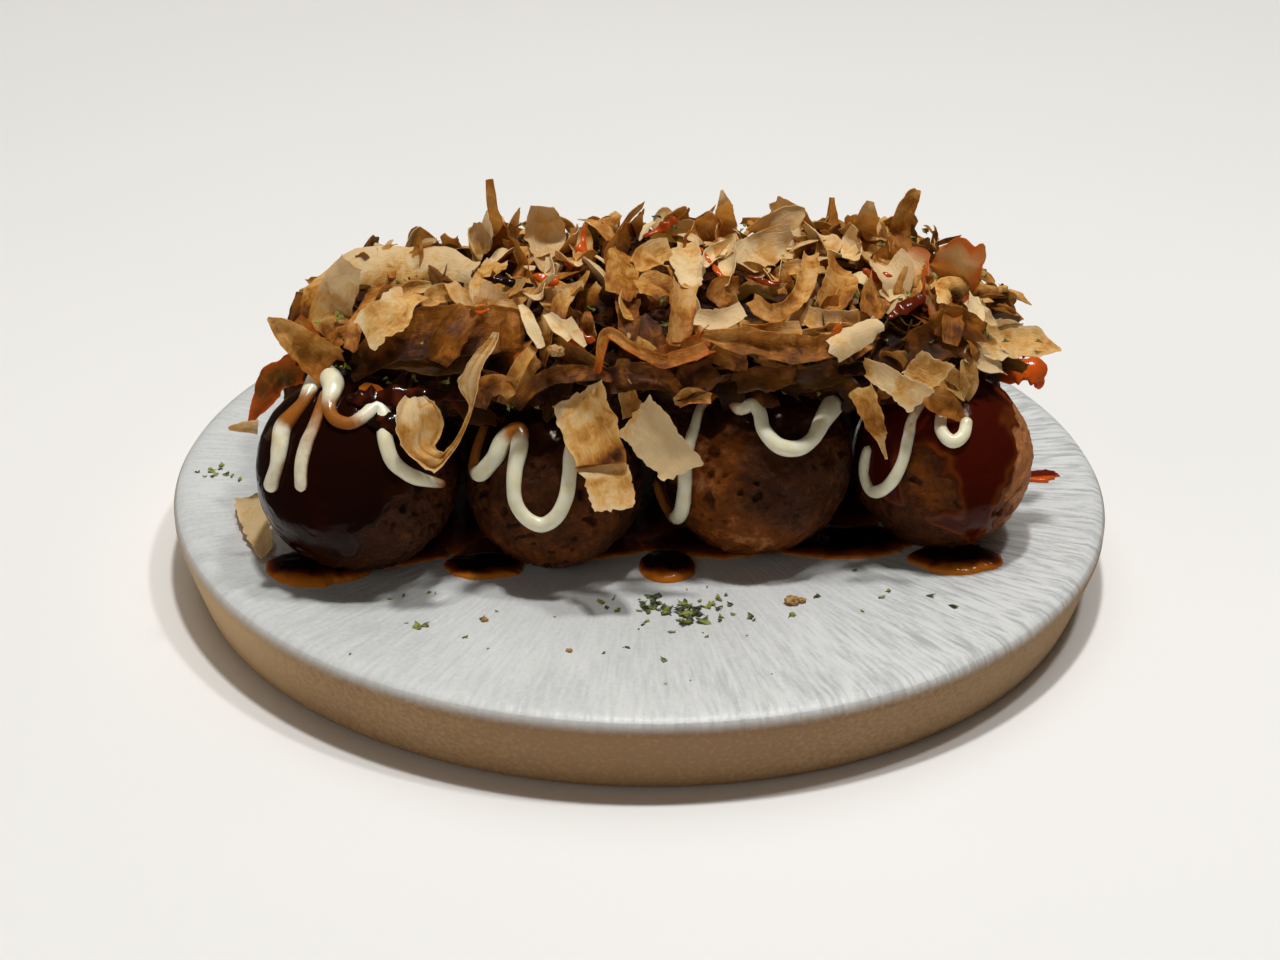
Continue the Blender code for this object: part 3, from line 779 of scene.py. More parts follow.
# The shavings that show: stops along, across, up and width in millimetres, the way they face, then
# how brown, how wet and how red they are, and how far they curl across.
FLAKES = {
    "left_tip": (((-65.1, -18.8, 42, 7.9), (-71.8, -18.8, 47.8, 7.5), (-74.8, -18.8, 50.9, 4.7),
        (-77.8, -18.8, 53.2, 0.6)), (-20, 25), 0.42, 0.65, 0.12, 0.3),
    "left_bright_bit": (((-68.8, -12.1, 44, 2.8), (-70.6, -12.1, 47.8, 3.6), (-72.3, -12.1, 50, 2)),
        (-15, 35), 0.4, 0.8, 0.7, 0.2),
    "left_sheet": (((-71.4, -2.5, 39.8, 9), (-67, 2.2, 45.6, 13), (-60.4, 6, 49.6, 15),
        (-52.4, 4, 52.2, 14.5), (-45.1, 0, 53.8, 12.5), (-37.2, -6.5, 54.8, 8.5)), (-8, 50), 0.24,
        0.35, 0.02, -0.35),
    "left_low_sheet": (((-59.5, -23, 45.4, 6.5), (-52.8, -22.8, 49.6, 9.2),
        (-44.4, -23.2, 51.2, 10), (-36.6, -24.1, 51.8, 9.6), (-29, -24.9, 52.2, 8)), (2, 36), 0.66,
        0.88, 0.04, 0.3),
    "left_sheet_side": (((-65, -16.2, 44.2, 8.7), (-65.9, -6, 47.1, 10), (-64, -6, 54.2, 9.2),
        (-61.5, -6, 59.1, 6)), (-38, 40), 0.22, 0.4, 0, -0.3),
    "left_amber_fold": (((-61.7, -20.5, 46.1, 3.1), (-60.7, -16.4, 49.4, 3.8),
        (-58.2, -8.9, 52, 3.1), (-55.6, -1.4, 53.1, 1.9)), (-30, 25), 0.42, 0.7, 0.1, 0.4),
    "left_pale_square": (((-58.8, -25.2, 51.8, 6.7), (-54.4, -22.6, 55, 7.9),
        (-50.3, -17.2, 57.2, 7.1)), (12, 45), 0.2, 0.3, 0, 0.12),
    "left_brown_low": (((-61.8, -20.5, 43.1, 6.7), (-53.9, -23.3, 46.3, 5.9),
        (-44.6, -26.8, 46.3, 5.5), (-37.3, -27.8, 47.4, 4.7)), (-5, 50), 0.82, 0.95, 0.04, 0.2),
    "left_corner": (((-83.6, 3.8, 19.4, 1.2), (-80.6, 3.8, 24.6, 4.6), (-77.4, 3.8, 29.6, 6.4),
        (-72.5, 3.8, 32, 6.4)), (-35, 25), 0.8, 0.9, 0.5, 0.3),
    "olive_fold": (((-36.9, -22.2, 53.5, 3.9), (-35.7, -14.4, 56, 5.1), (-31.9, -3, 57, 4.8)),
        (-25, 25), 0.3, 0.45, 0, 0.3),
    "olive_low": (((-38.3, -18.9, 54.6, 3.9), (-33.5, -20.4, 54.7, 3.5), (-29.3, -20, 55.2, 2.4)),
        (0, 50), 0.35, 0.5, 0, 0.25),
    "spike": (((-25.9, -15.4, 56.1, 4), (-27.8, -3.1, 57, 5.6), (-29.5, 17.4, 54.4, 4.2),
        (-32.3, 5.4, 65.3, 2.2), (-33.1, 5.4, 71.2, 1.4)), (-15, 10), 0.4, 0.85, 0.15, 0.3),
    "round_flake": (((-22.6, -8.1, 56.8, 6), (-21.8, 5.6, 56.8, 7.8), (-21.9, 6.2, 61.6, 7.3),
        (-22.1, 6.2, 65.1, 4.1)), (0, 15), 0, 0.5, 0, 0.25),
    "grey_back": (((-34.2, 5.5, 55.7, 3.3), (-34.9, 7, 58.6, 4.1), (-35.3, 7, 61.2, 2.4)),
        (-10, 10), 0, 0.5, 0, 0.2),
    "beige_behind_sliver": (((-15.1, -7.2, 57.5, 5.2), (-14.3, 4.2, 57.4, 5.7),
        (-15, 5.4, 60.9, 3.3)), (10, 20), 0.1, 0.6, 0.05, 0.2),
    "flake_c": (((-9.1, -5.8, 57.6, 6), (-6.3, 2.2, 57.6, 5.3), (-2.5, 15.6, 55.9, 3.7),
        (-1.3, 5.4, 63.6, 0.4)), (15, 15), 0.28, 0.7, 0.2, 0.25),
    "square_mid": (((-9, -22.1, 57.3, 6.3), (-8.2, -13.7, 58.8, 7.1), (-7, -5.2, 59, 5.6)), (8, 25),
        0.54, 0.5, 0.1, 0.2),
    "olive_fringe": (((-8.1, -29.7, 51.2, 3.5), (-7.7, -24.6, 55, 4.7), (-6.5, -16.8, 57.5, 4)),
        (-10, 30), 0.5, 0.6, 0.05, 0.3),
    "brown_right_mid": (((-1.9, -30.5, 48.9, 4.3), (-4, -27.4, 52.2, 5.5), (-5.6, -24, 54.6, 3.5)),
        (20, 25), 0.7, 0.6, 0.05, 0.3),
    "grey_film": (((0.3, -31.3, 50.6, 3.1), (2.3, -27.1, 54.5, 5.5), (4.1, -18.1, 57.7, 6.3)),
        (10, 20), 0.35, 0.8, 0, 0.35),
    "pale_pink_mid": (((5.3, -17.9, 56.8, 5.1), (6.1, -7.7, 57.9, 6.4), (7, 3.8, 57.9, 4.5)),
        (-5, 34), 0.05, 0.25, 0, 0.3),
    "chip_twist": (((-25.3, -32.7, 51.9, 1.7), (-26.9, -30.1, 54.2, 2.7), (-27.8, -26.8, 56.1, 2.5),
        (-28.8, -24.1, 57.1, 1)), (15, 39), 0, 0.05, 0, 0.3),
    "chip_pale": (((-23.6, -27.2, 56.2, 1.9), (-21.8, -29.9, 54.8, 2.7), (-19.7, -32.3, 52.8, 1.5)),
        (-5, 44), 0, 0.1, 0, 0.4),
    "chip_pale_2": (((-20, -26.8, 55, 1.9), (-18.3, -29.9, 52.9, 2.5), (-16.5, -31.7, 51.2, 1)),
        (20, 44), 0.09, 0.3, 0.1, 0.4),
    "chip_up": (((-22, -26.7, 54.2, 2.7), (-20.5, -22.7, 56.2, 3.1), (-18.2, -18.8, 57.4, 1.6)),
        (-10, 25), 0.4, 0.4, 0.05, 0.3),
    "pink_strip": (((-30.6, -33.8, 44.5, 2.3), (-29, -32.9, 47.8, 2.7), (-26.5, -30.9, 51.1, 1.7)),
        (-20, 25), 0.55, 0.35, 0, 0.4),
    "pink_curl": (((-37.7, -33.5, 39.4, 3.1), (-36.1, -33.4, 43.2, 4.3), (-32.9, -33.6, 44.4, 3.9),
        (-31.1, -34.3, 42.1, 2.3)), (-5, 20), 0.55, 0.35, 0, -0.5),
    "long_low_strip": (((-30.3, -33.7, 39.7, 2.3), (-27.5, -33.6, 43, 2.9),
        (-22.4, -33.3, 45.7, 3.3), (-15.8, -33.4, 46.4, 2.9), (-11.6, -34, 45.2, 1.7)), (-5, 35),
        0.68, 0.6, 0.05, 0.4),
    "long_curve": (((-14.8, -35.1, 47.1, 1.5), (-12.6, -31, 53.3, 2.3), (-7.7, -33.3, 50.8, 2.7),
        (-1.6, -34.6, 48.6, 2.9), (7.1, -33.8, 50.1, 3.1)), (0, 40), 0.56, 0.65, 0.25, 0.5),
    "brown_over_square": (((-13.9, -33.4, 43.7, 4.3), (-8.4, -33.2, 44.8, 5.5),
        (-2.1, -33.4, 44.2, 5.1), (1.8, -33.9, 41.7, 2.3)), (0, 35), 0.75, 0.5, 0.05, 0.3),
    "wedge": (((-4.1, -32.8, 48.3, 2.7), (1.8, -32.1, 49.5, 4.3), (8.2, -30.8, 51.2, 4.3)), (5, 40),
        0.62, 0.7, 0.3, 0.3),
    "low_hang": (((0.2, -33.9, 41.8, 4.7), (3.8, -33.5, 43.6, 5.9), (8.9, -32.7, 46.1, 5.1)),
        (10, 35), 0.82, 0.7, 0.15, 0.3),
    "low_hang_2": (((1, -34.9, 39.6, 2.3), (3.7, -34.8, 41.2, 3.1), (8, -34.8, 40.7, 2)), (5, 30),
        0.5, 0.5, 0.25, 0.3),
    "low_hang_3": (((13, -32.8, 42.5, 4.3), (17.7, -32.6, 43.2, 5.1), (24.9, -32.2, 43.6, 3.5)),
        (0, 35), 0.85, 0.75, 0.05, 0.3),
    "low_hang_4": (((25.7, -32.3, 42.8, 3.9), (30.7, -31.8, 43.2, 4.7), (35.8, -31.2, 43.6, 3.2)),
        (0, 35), 0.95, 0.95, 0.05, 0.2),
    "peak": (((14.1, 0.9, 57.6, 8.2), (16.1, 16.1, 55.7, 6.7), (14.9, 5.4, 64.5, 2.9),
        (14.3, 5.4, 68, 0.4)), (5, 15), 0.04, 0.75, 0, 0.35),
    "peak_left": (((7.5, 1.2, 57.6, 4.1), (11.5, 9.7, 57.1, 5.4), (13.3, 5.4, 61.9, 3.3)),
        (-10, 20), 0.28, 0.55, 0.1, 0.3),
    "beige_wing": (((22, 7.4, 56.9, 5.4), (25.9, 6.2, 59.9, 5.8), (29.9, 6.2, 62, 4.5),
        (32, 6.2, 62.4, 1.6)), (5, 20), 0.02, 0.55, 0, 0.3),
    "big_beige": (((16.2, -10.7, 58.5, 6.8), (22.2, -2.6, 58.4, 8.5), (27.9, -0.3, 58.2, 7.3)),
        (0, 39), 0.12, 0.35, 0, 0.35),
    "vertical_fold": (((12.6, -20, 57.9, 2.8), (13.8, -10.5, 58.9, 4), (15.3, 1, 58.8, 2.9)),
        (-30, 34), 0.09, 0.3, 0, 0.5),
    "rolled": (((8.9, -13.8, 59.2, 2), (10.8, -8.2, 59.3, 3.2), (13.4, -3.6, 59.3, 2.4)), (-10, 29),
        0.02, 0.2, 0.05, 0.9),
    "bowl": (((16.3, -24.8, 56.9, 3.1), (20.3, -28.1, 55.2, 3.5), (25.5, -24.8, 56.6, 3.9),
        (29, -17, 58.3, 3.6), (31.5, -5.8, 58.6, 2.8)), (0, 35), 0.3, 0.5, 0.1, 0.6),
    "pale_left_fold": (((5.7, -27.9, 54.7, 3.5), (9.6, -28.8, 54.2, 4.3), (14.5, -26.9, 55.3, 3.5)),
        (-10, 44), 0.03, 0.35, 0, 0.4),
    "frill": (((6.5, -31.5, 52.9, 1.9), (13.1, -32.5, 51.9, 4.7), (20.5, -33.1, 50.7, 5.5),
        (27.6, -33.3, 49.7, 5.1), (34.5, -31.9, 50.5, 4.3), (40, -29.7, 51.9, 4.3)), (0, 30), 0.52,
        0.55, 0.05, 0.5),
    "frill_top": (((14.2, -30.2, 53, 2.3), (19.6, -30.8, 52.2, 3.9), (25.6, -30.1, 52.5, 3.1)),
        (0, 45), 0.34, 0.5, 0.15, 0.4),
    "frill_right": (((31.1, -34, 49.5, 4.7), (36.9, -31.7, 51.6, 4.7), (41.6, -29.6, 52.7, 2.7)),
        (10, 44), 0.09, 0.3, 0, -0.5),
    "centre_brown": (((31.2, -24.5, 54.1, 5.5), (35, -17.7, 56.2, 7.2), (37, -7.8, 57.1, 6.1)),
        (5, 25), 0.42, 0.5, 0.05, 0.35),
    "centre_brown_2": (((27.4, -26.3, 53.3, 4.3), (31.2, -27.2, 52.3, 5.1),
        (37.9, -25.5, 52.7, 3.9)), (5, 35), 0.34, 0.45, 0.05, 0.35),
    "right_tan": (((40.4, -25.2, 52.5, 4.3), (43, -18.6, 55.1, 6.4), (46.1, -7.8, 56, 5.7)),
        (10, 25), 0.45, 0.5, 0.05, 0.3),
    "spire_left": (((43.8, -2.1, 55.4, 6.9), (46, 12.6, 54.1, 5.9), (45, 6.2, 61.2, 4.1),
        (45.4, 6.2, 64.7, 1.6)), (0, 15), 0.14, 0.65, 0.12, 0.35),
    "spire_left_side": (((40.2, -3.8, 56.2, 4.1), (41.3, 5.3, 55.9, 3.7), (42.4, 5.4, 58.9, 2.1)),
        (-15, 34), 0.05, 0.25, 0.05, 0.3),
    "spire_right": (((51.2, 1.4, 54.1, 6.2), (51.5, 6.2, 57, 5.4), (52.5, 6.2, 61.5, 5),
        (54.1, 6.2, 65.4, 3.7), (55.1, 6.2, 66.7, 1.6)), (5, 15), 0.48, 0.6, 0.1, 0.45),
    "red_rimmed": (((53.8, -18.4, 51.6, 8.8), (59, -8.2, 52.3, 11.8), (61.6, -8.2, 57.5, 10.1),
        (62.6, -8.2, 60.7, 6.9)), (8, 20), 0.08, 0.95, 0.52, 0.2),
    "pink_curl_right": (((56.2, -20, 52.7, 2.4), (58.4, -13, 53.5, 3.6), (63.3, -9.5, 51.8, 3.7),
        (70.1, -2.7, 47.3, 2.5), (73.8, 2.2, 46, 0.6)), (5, 30), 0.3, 0.2, 0, -0.5),
    "pale_small_right": (((63, -20.3, 48.7, 2.8), (63.6, -16.5, 50.1, 3.4), (64, -12.4, 50.9, 2.8)),
        (15, 34), 0, 0.15, 0.05, 0.2),
    "brown_arch": (((56.6, -26.4, 46.8, 3.2), (57.5, -22.8, 50, 4.4), (59, -18.5, 51.5, 2.8)),
        (-5, 25), 0.62, 0.5, 0, 0.4),
    "pale_left_of_drop": (((44, -19.9, 53.9, 3.2), (49, -14.5, 54.4, 4.4),
        (53.7, -11.5, 53.9, 3.2)), (-5, 44), 0.05, 0.25, 0, 0.3),
    "right_tip": (((63.5, -20.4, 45, 8.4), (71.2, -14.6, 42.4, 9.2), (77.2, -14.6, 41.2, 7.2),
        (82.6, -14.6, 39.4, 0.6)), (10, 55), 0.05, 0.25, 0, 0.3),
    "right_pale_low": (((60.3, -25, 44.3, 3.6), (64, -23.6, 41.8, 4.8), (68.7, -20.3, 37.4, 3.2)),
        (15, 55), 0.05, 0.25, 0, 0.3),
    "right_ragged": (((62.1, -13.8, 50.6, 2), (65.7, -16.4, 47.7, 2.8), (68.3, -15.6, 45.9, 1.2)),
        (15, 44), 0.09, 0.3, 0, 0.3),
    "right_low_ragged": (((60, -26.4, 43.2, 3.6), (60.7, -26.8, 38.1, 4), (59.5, -26.4, 33.5, 2.8)),
        (10, 30), 0.35, 0.35, 0.05, 0.4),
    "right_low_amber": (((52.2, -29.7, 42.4, 4.4), (56.6, -28.5, 40.4, 4.8),
        (60.4, -27, 36.4, 2.8)), (0, 30), 0.3, 0.35, 0.05, 0.3),
    "amber_end": (((47, -32.3, 39.4, 3.6), (51.8, -31.1, 37.3, 4.8), (56.4, -31.1, 35, 4),
        (59.4, -31.1, 32.2, 1.2)), (5, 35), 0.45, 0.5, 0.15, 0.3),
    "brown_crumb_flake": (((53.6, -29.6, 39.7, 2.8), (57.7, -28.2, 36.2, 3.6),
        (59.5, -28.2, 34.4, 2)), (10, 30), 0.75, 0.6, 0.1, 0.3),
    "back_pale": (((-7.6, 9.4, 55.5, 4.9), (-8.2, 16.5, 54.8, 4.2), (-10.1, 10.2, 58.8, 2.1)),
        (0, 24), 0.02, 0.6, 0, 0.2),
    "dark_right_low": (((47.2, -28.1, 46.2, 6), (54.7, -25.2, 47.4, 7.5), (62.4, -23.4, 44.6, 6)),
        (8, 38), 0.78, 0.95, 0.12, 0.3),
    "dark_right_high": (((52.7, -24, 50.5, 4.5), (58.8, -22.2, 49.6, 6.5), (64.7, -21.7, 46.4, 5)),
        (14, 35), 0.7, 0.95, 0.15, 0.4),
    "left_bit_a": (((-52.2, -13.7, 54.5, 2.6), (-49.4, -12.2, 55.9, 3.6), (-45.9, -12.9, 56.5, 2)),
        (-10, 35), 0.22, 0.4, 0, 0.4),
    "left_bit_b": (((-47.1, -18.1, 54.6, 2.6), (-44, -16.2, 56.2, 4), (-40.5, -16.6, 56.7, 2.4)),
        (12, 40), 0.12, 0.3, 0, 0.5),
    "left_bit_c": (((-42, -14.9, 57.2, 2.4), (-39.9, -19.1, 56.2, 3.4), (-37.6, -21.6, 55.2, 1.6)),
        (5, 30), 0.3, 0.5, 0.1, 0.3),
    "mid_fill_1": (((-4, -10.9, 58.6, 4.5), (-1.1, -6.6, 59.4, 6.2), (2.4, -3.9, 59.2, 4)),
        (-12, 30), 0.24, 0.35, 0, 0.3),
    "mid_fill_2": (((9.1, -23, 55.4, 3.6), (11.7, -20.7, 57, 5.4), (14.8, -18.6, 57.4, 3.4)),
        (8, 35), 0.52, 0.75, 0.05, 0.4),
    "left_low_fold": (((-45.4, -29.4, 47.6, 5), (-42.6, -28, 52, 7), (-38.6, -23.4, 55.2, 5)),
        (-8, 34), 0.6, 0.8, 0, 0.5),
    "left_low_end": (((-31.4, -29.4, 49.6, 4), (-31, -28, 52.6, 5), (-30, -24.6, 55, 3)), (14, 30),
        0.52, 0.7, 0.05, 0.4),
    # A dark shaving stood in the gap between the first two balls: painted shade of the gap.
    "shade_in_gap_left": (((-41, -13, 36, 9), (-40.6, -11, 28, 9), (-40.2, -9, 17, 8), (-40, -8, 9, 6)),
        (0, 10), 0.9, 0.9, 0.05, 0.3),
    "back_1": (((-30, 20, 46, 14), (-36, 31, 42, 12), (-44, 37, 38, 3)), (180, 55), 0.3, 0.3, 0,
        0.3),
    "back_2": (((4, 22, 48, 15), (0, 32, 44, 12), (-6, 38, 38, 3)), (170, 50), 0.5, 0.4, 0.05, 0.3),
    "back_3": (((34, 22, 48, 15), (40, 32, 43, 13), (47, 37, 38, 3)), (-170, 50), 0.2, 0.25, 0,
        0.3),
    "back_4": (((60, 18, 42, 14), (68, 27, 39, 12), (74, 32, 36, 3)), (150, 60), 0.4, 0.4, 0.1,
        0.3),
    "back_5": (((-58, 20, 40, 14), (-66, 28, 38, 12), (-72, 33, 35, 3)), (-150, 60), 0.35, 0.3, 0,
        0.3),
    "back_6": (((-10, 18, 44, 12), (-8, 22, 51.5, 7), (-5, 24, 56, 1.2)), (170, 20), 0.3, 0.3, 0,
        0.3),
    "back_7": (((42, 20, 45, 13), (40, 22, 51, 8), (38, 23, 54, 1.2)), (180, 15), 0.5, 0.4, 0.1,
        0.3),
}
CORE_DARK = (0.022, 0.0065, 0.0026)
CORE_BROWN = (0.13, 0.038, 0.0070)
CORE_GREEN = (0.030, 0.036, 0.012)
FLAKE_CREAM = (0.90, 0.70, 0.39)
FLAKE_TAN = (0.79, 0.45, 0.125)
FLAKE_AMBER = (0.46, 0.165, 0.018)
FLAKE_BROWN = (0.14, 0.042, 0.009)
FLAKE_BLACK = (0.022, 0.007, 0.0025)
FLAKE_RED = (0.74, 0.10, 0.006)
FLAKE_GLOW = (0.97, 0.67, 0.27)
# How far shavings deep in the heap are darkened by soaking and painted shade, and how much wetter.
SOAK_AND_SHADE_TONE = 0.32
SOAK_WET = 0.30
SOAK_AND_SHADE_SHARE = 0.12
# Painted shade low on each shaving, stronger on the large sheets.
LOWER_SHADE_TONE = 0.13
SHEET_LOWER_SHADE = 2.2
# Painted shade and light of the creases.
FOLD_SHADE_TONE = 0.22
TEAR_PRIME = 1009
CREASE_PRIME = 977


def mound(ways, shrink):
    """The heap's skin in each direction from the middle of its base, in the group's millimetres."""
    squared = np.sign(ways) * np.abs(ways) ** HEAP_SQUARENESS
    lumps = 1.0 + HEAP_LUMP * mottle(ways * 3.0, np.array((4.2, 1.3, 7.7)))
    lumps += HEAP_RIPPLE * mottle(ways * 7.5, np.array((9.1, 3.4, 2.6)))
    rise = np.where(ways[:, 2] > 0, HEAP_RISE - shrink, HEAP_DROOP)
    sides = np.tile((HEAP_HALF_LENGTH - shrink, HEAP_HALF_WIDTH - shrink), (len(ways), 1))
    local = squared * np.column_stack((sides, rise)) * lumps[:, None]
    return local + np.array((HEAP_SHIFT, 0.0, HEAP_BASE))


def group_places(local):
    """Rows of millimetres along, across and up from the plate's top, as points of the frame."""
    turn = np.array(Matrix.Rotation(ROW_TURN, 3, "Z"))
    return local @ turn.T * MM + np.array((GROUP_CENTRE.x, GROUP_CENTRE.y, plate_top))


def make_core():
    core = round_blank("soaked_and_shaded_core", CORE_DETAIL)
    ways = unit(read_places(core))
    local = mound(ways, CORE_SHRINK)
    folds = CORE_LUMP * (0.5 - np.abs(mottle(local / 7.0, 2.2)) * 1.6) + mottle(local / 2.6, 5.1)
    local += ways * folds[:, None]
    write_places(core, group_places(local))
    paint(core, "fold", folds)
    return core


def core_finish():
    finish = Finish("soaked_and_shaded_tangle")
    fold = finish.attribute("fold")
    streak = finish.grain(1.6 * MM, 4.0, 0.7, 1.2)
    patch = finish.grain(9.0 * MM, 3.0, 0.6)
    # The tangle is dark from soaked sauce and from painted shade deep in the heap, darker in its
    # hollows.
    brown = finish.mix((streak + fold * 0.12 - 0.1).rise(0.35, 0.75), CORE_DARK, CORE_BROWN)
    green = patch.rise(0.60, 0.72) * streak.rise(0.4, 0.6)
    finish.set(Base_Color=finish.mix(green, brown, CORE_GREEN))
    finish.set(Roughness=0.30 + patch * 0.25, Specular_IOR_Level=0.14, Specular_Tint=SHEEN_WARM)
    finish.bump(streak, 0.9 * MM)
    return finish


def sheet_pattern(columns, rows):
    """The flat grid of faces, two across and two along, which a shaving starts from."""
    deselect()
    bpy.ops.mesh.primitive_grid_add(x_subdivisions=columns, y_subdivisions=rows, size=2.0)
    pattern = bpy.context.object
    places = read_places(pattern)
    return pattern, places[:, 0] * 0.5 + 0.5, places[:, 1]


def jag(where, pace, seed):
    """A broken line: straight runs about pace millimetres long between heights from -1 to 1."""
    chance = np.random.default_rng(int(abs(seed) * TEAR_PRIME) + 7)
    knots = np.arange(where.min() - pace, where.max() + 2 * pace, pace)
    knots += pace * 0.4 * chance.uniform(-1, 1, len(knots))
    return np.interp(where, knots, chance.uniform(-1, 1, len(knots)))


def creases(flat, pace, seed):
    """Crisp folds that cross a sheet in three directions."""
    chance = np.random.default_rng(int(abs(seed) * CREASE_PRIME) + 3)
    height = np.zeros(len(flat))
    for number in range(3):
        turn = chance.uniform(0, math.pi)
        run = flat[:, 0] * math.cos(turn) + flat[:, 1] * math.sin(turn)
        height += jag(run, pace * (1.0 + 0.3 * number), seed + 5.3 * number)
    return height / 3


def torn_edges(sheet, length, width, paces, ragged, seed):
    """How far each place's nearer long edge is torn, and its nearer end."""
    _, u, v = sheet
    pace, fine_pace, end_pace = paces
    run, reach = u * length, v * width
    tear = np.where(v > 0, jag(run, pace, seed), jag(run, pace, seed + 2.2))
    fine = np.where(v > 0, jag(run, fine_pace, seed + 0.7), jag(run, fine_pace, seed + 3.1))
    end = np.where(u > 0.5, jag(reach, end_pace, seed + 4.4), jag(reach, end_pace, seed + 6.2))
    return tear + ragged * fine, end


def crumples(flat, folds, seed):
    """A sheet's relief: coarse creases, fine creases and a soft swell, each a height and a size."""
    (coarse, pace), (fine, fine_pace), (swell, swell_size) = folds
    relief = coarse * creases(flat, pace, seed) + fine * creases(flat, fine_pace, seed + 1.1)
    return relief + swell * mottle(flat / swell_size, 3.3)


def between_rows(rows, spots):
    """Values between rows, at spots counted in rows."""
    return np.column_stack([np.interp(spots, np.arange(len(rows)), column) for column in rows.T])


def dress_flake(name, pattern, places, flat, rim, looks, seed):
    """Makes a shaving's mesh and paints how brown, wet and red it is, and how near its rim."""
    flake = bpy.data.objects.new(name, pattern.data.copy())
    bpy.context.scene.collection.objects.link(flake)
    write_places(flake, group_places(places))
    tone, wet, red = looks
    if name != "loose":
        halves = np.array((HEAP_HALF_LENGTH, HEAP_HALF_WIDTH, HEAP_RISE)) - CORE_SHRINK
        reach = np.abs(places - np.array((HEAP_SHIFT, 0.0, HEAP_BASE))) / halves
        reach = np.linalg.norm(reach ** (1 / HEAP_SQUARENESS), axis=1) ** HEAP_SQUARENESS
        # Shavings sunk deep in the heap are painted browner and wetter: soaked sauce, and painted
        # shade.
        sunk = 1.0 - ease(reach, 0.98, 1.22)
        # Each shaving is painted darker towards its lowest part, the large sheets most: painted
        # shade.
        lower = np.clip((places[:, 2].mean() - places[:, 2]) / 5.0, -1.2, 1.2)
        tone = tone + SOAK_AND_SHADE_TONE * (sunk - SOAK_AND_SHADE_SHARE)
        tone = tone + LOWER_SHADE_TONE * lower * (SHEET_LOWER_SHADE if "sheet" in name else 1.0)
        wet = wet + SOAK_WET * sunk
    drift = jag(flat[:, 0], 4.0, seed + 0.4) * 0.5 + mottle(flat / 5.0, 8.8)
    paint(flake, "tone", tone + 0.20 * drift)
    paint(flake, "wet", np.clip(wet + 0.35 * mottle(flat / 5.0, 1.8), 0.0, 1.0))
    chili = red * (0.55 + 1.3 * mottle(flat / 4.0, 6.1)) + 1.1 * red * rim ** 3
    paint(flake, "red", np.clip(chili, 0.0, 1.0))
    paint(flake, "rim", rim)
    corner = np.empty(len(flake.data.loops), dtype=int)
    flake.data.loops.foreach_get("vertex_index", corner)
    skin = flat[:, :2] / FLAKE_SKIN + (seed * 1.7, seed)
    flake.data.uv_layers[0].data.foreach_set("uv", skin[corner].ravel())
    return flake


def make_flake(sheet, name, stops, front, looks, cup, seed, rag=1.0, crumple=1.0):
    """A torn, creased shaving whose middle runs through the stops, in the group's millimetres."""
    pattern, u, v = sheet
    rows = flow(stops, FLAKE_STEP)
    spots = u * (len(rows) - 1)
    row = between_rows(rows, spots)
    width = row[:, 3]
    length = float(np.sum(steps(rows[:, :3])))
    along = unit(between_rows(unit(np.gradient(rows[:, :3], axis=0)), spots))
    side = unit(np.cross(along, np.tile(np.array(front, dtype=float), (len(u), 1))))
    normal = np.cross(side, along)
    twist = FLAKE_TWIST * (u - 0.5) * math.sin(seed * 5.1)
    level, lean = np.cos(twist)[:, None], np.sin(twist)[:, None]
    side, normal = side * level + normal * lean, normal * level - side * lean
    tear, torn = torn_edges(sheet, length, width, FLAKE_TEAR_PACES, FLAKE_FINE_TEAR, seed)
    half = width / 2 * (1.0 + FLAKE_TEAR * rag * tear * np.abs(v))
    shift = torn * rag * np.clip(width / 5.0, 0.1, 1.5) * np.abs(2 * u - 1) ** 5
    flat = np.column_stack((u * length, v * half, np.full(len(u), seed)))
    rise = cup * width / 2 * (v * v - 0.4) + crumple * crumples(flat, FLAKE_FOLDS, seed)
    places = row[:, :3] + side * (v * half)[:, None] + along * shift[:, None]
    places += normal * rise[:, None]
    rim = np.maximum(np.abs(v), np.abs(2 * u - 1) ** 2)
    tone, wet, red = looks
    # Painted shade and light: darker in the valleys of the coarse creases, lighter on their ridges.
    tone = tone - FOLD_SHADE_TONE * creases(flat, FLAKE_FOLDS[0][1], seed)
    return dress_flake(name, pattern, places, flat, rim, (tone, wet, red), seed)


def joined(name, scraps, thickness, offset=0.0):
    """One piece of many scraps, each given its thickness."""
    deselect()
    for scrap in scraps:
        scrap.select_set(True)
    bpy.context.view_layer.objects.active = scraps[0]
    bpy.ops.object.join()
    piece = bpy.context.object
    piece.name = name
    wall = piece.modifiers.new("thickness", "SOLIDIFY")
    wall.thickness = thickness
    wall.offset = offset
    bpy.ops.object.modifier_apply(modifier=wall.name)
    return piece


def shavings(name, flakes):
    piece = joined(name, flakes, FLAKE_THICKNESS)
    bpy.ops.object.shade_smooth_by_angle(angle=FLAKE_SMOOTH)
    return piece


# The small shavings: how many, how deep in the heap, how long, how wide, then how brown and how wet
# at least and most.
LAYERS = {
    "bonito_heap_soaked": (230, (-1.5, 2.0), (9.0, 17.0), (5.0, 10.0), (0.62, 1.05), (0.6, 1.0)),
    "bonito_heap_small": (430, (1.5, 6.5), (5.0, 13.0), (2.6, 7.5), (-0.08, 0.5), (0.05, 0.6)),
}


def upward(chance, lowest, power=1.0):
    """A chance direction over the heap, as one row."""
    turn = chance.uniform(0, 2 * math.pi)
    lift = math.asin(chance.uniform(lowest, 1.0) ** power)
    level = math.cos(lift)
    return np.array([[math.cos(turn) * level, math.sin(turn) * level, math.sin(lift)]])


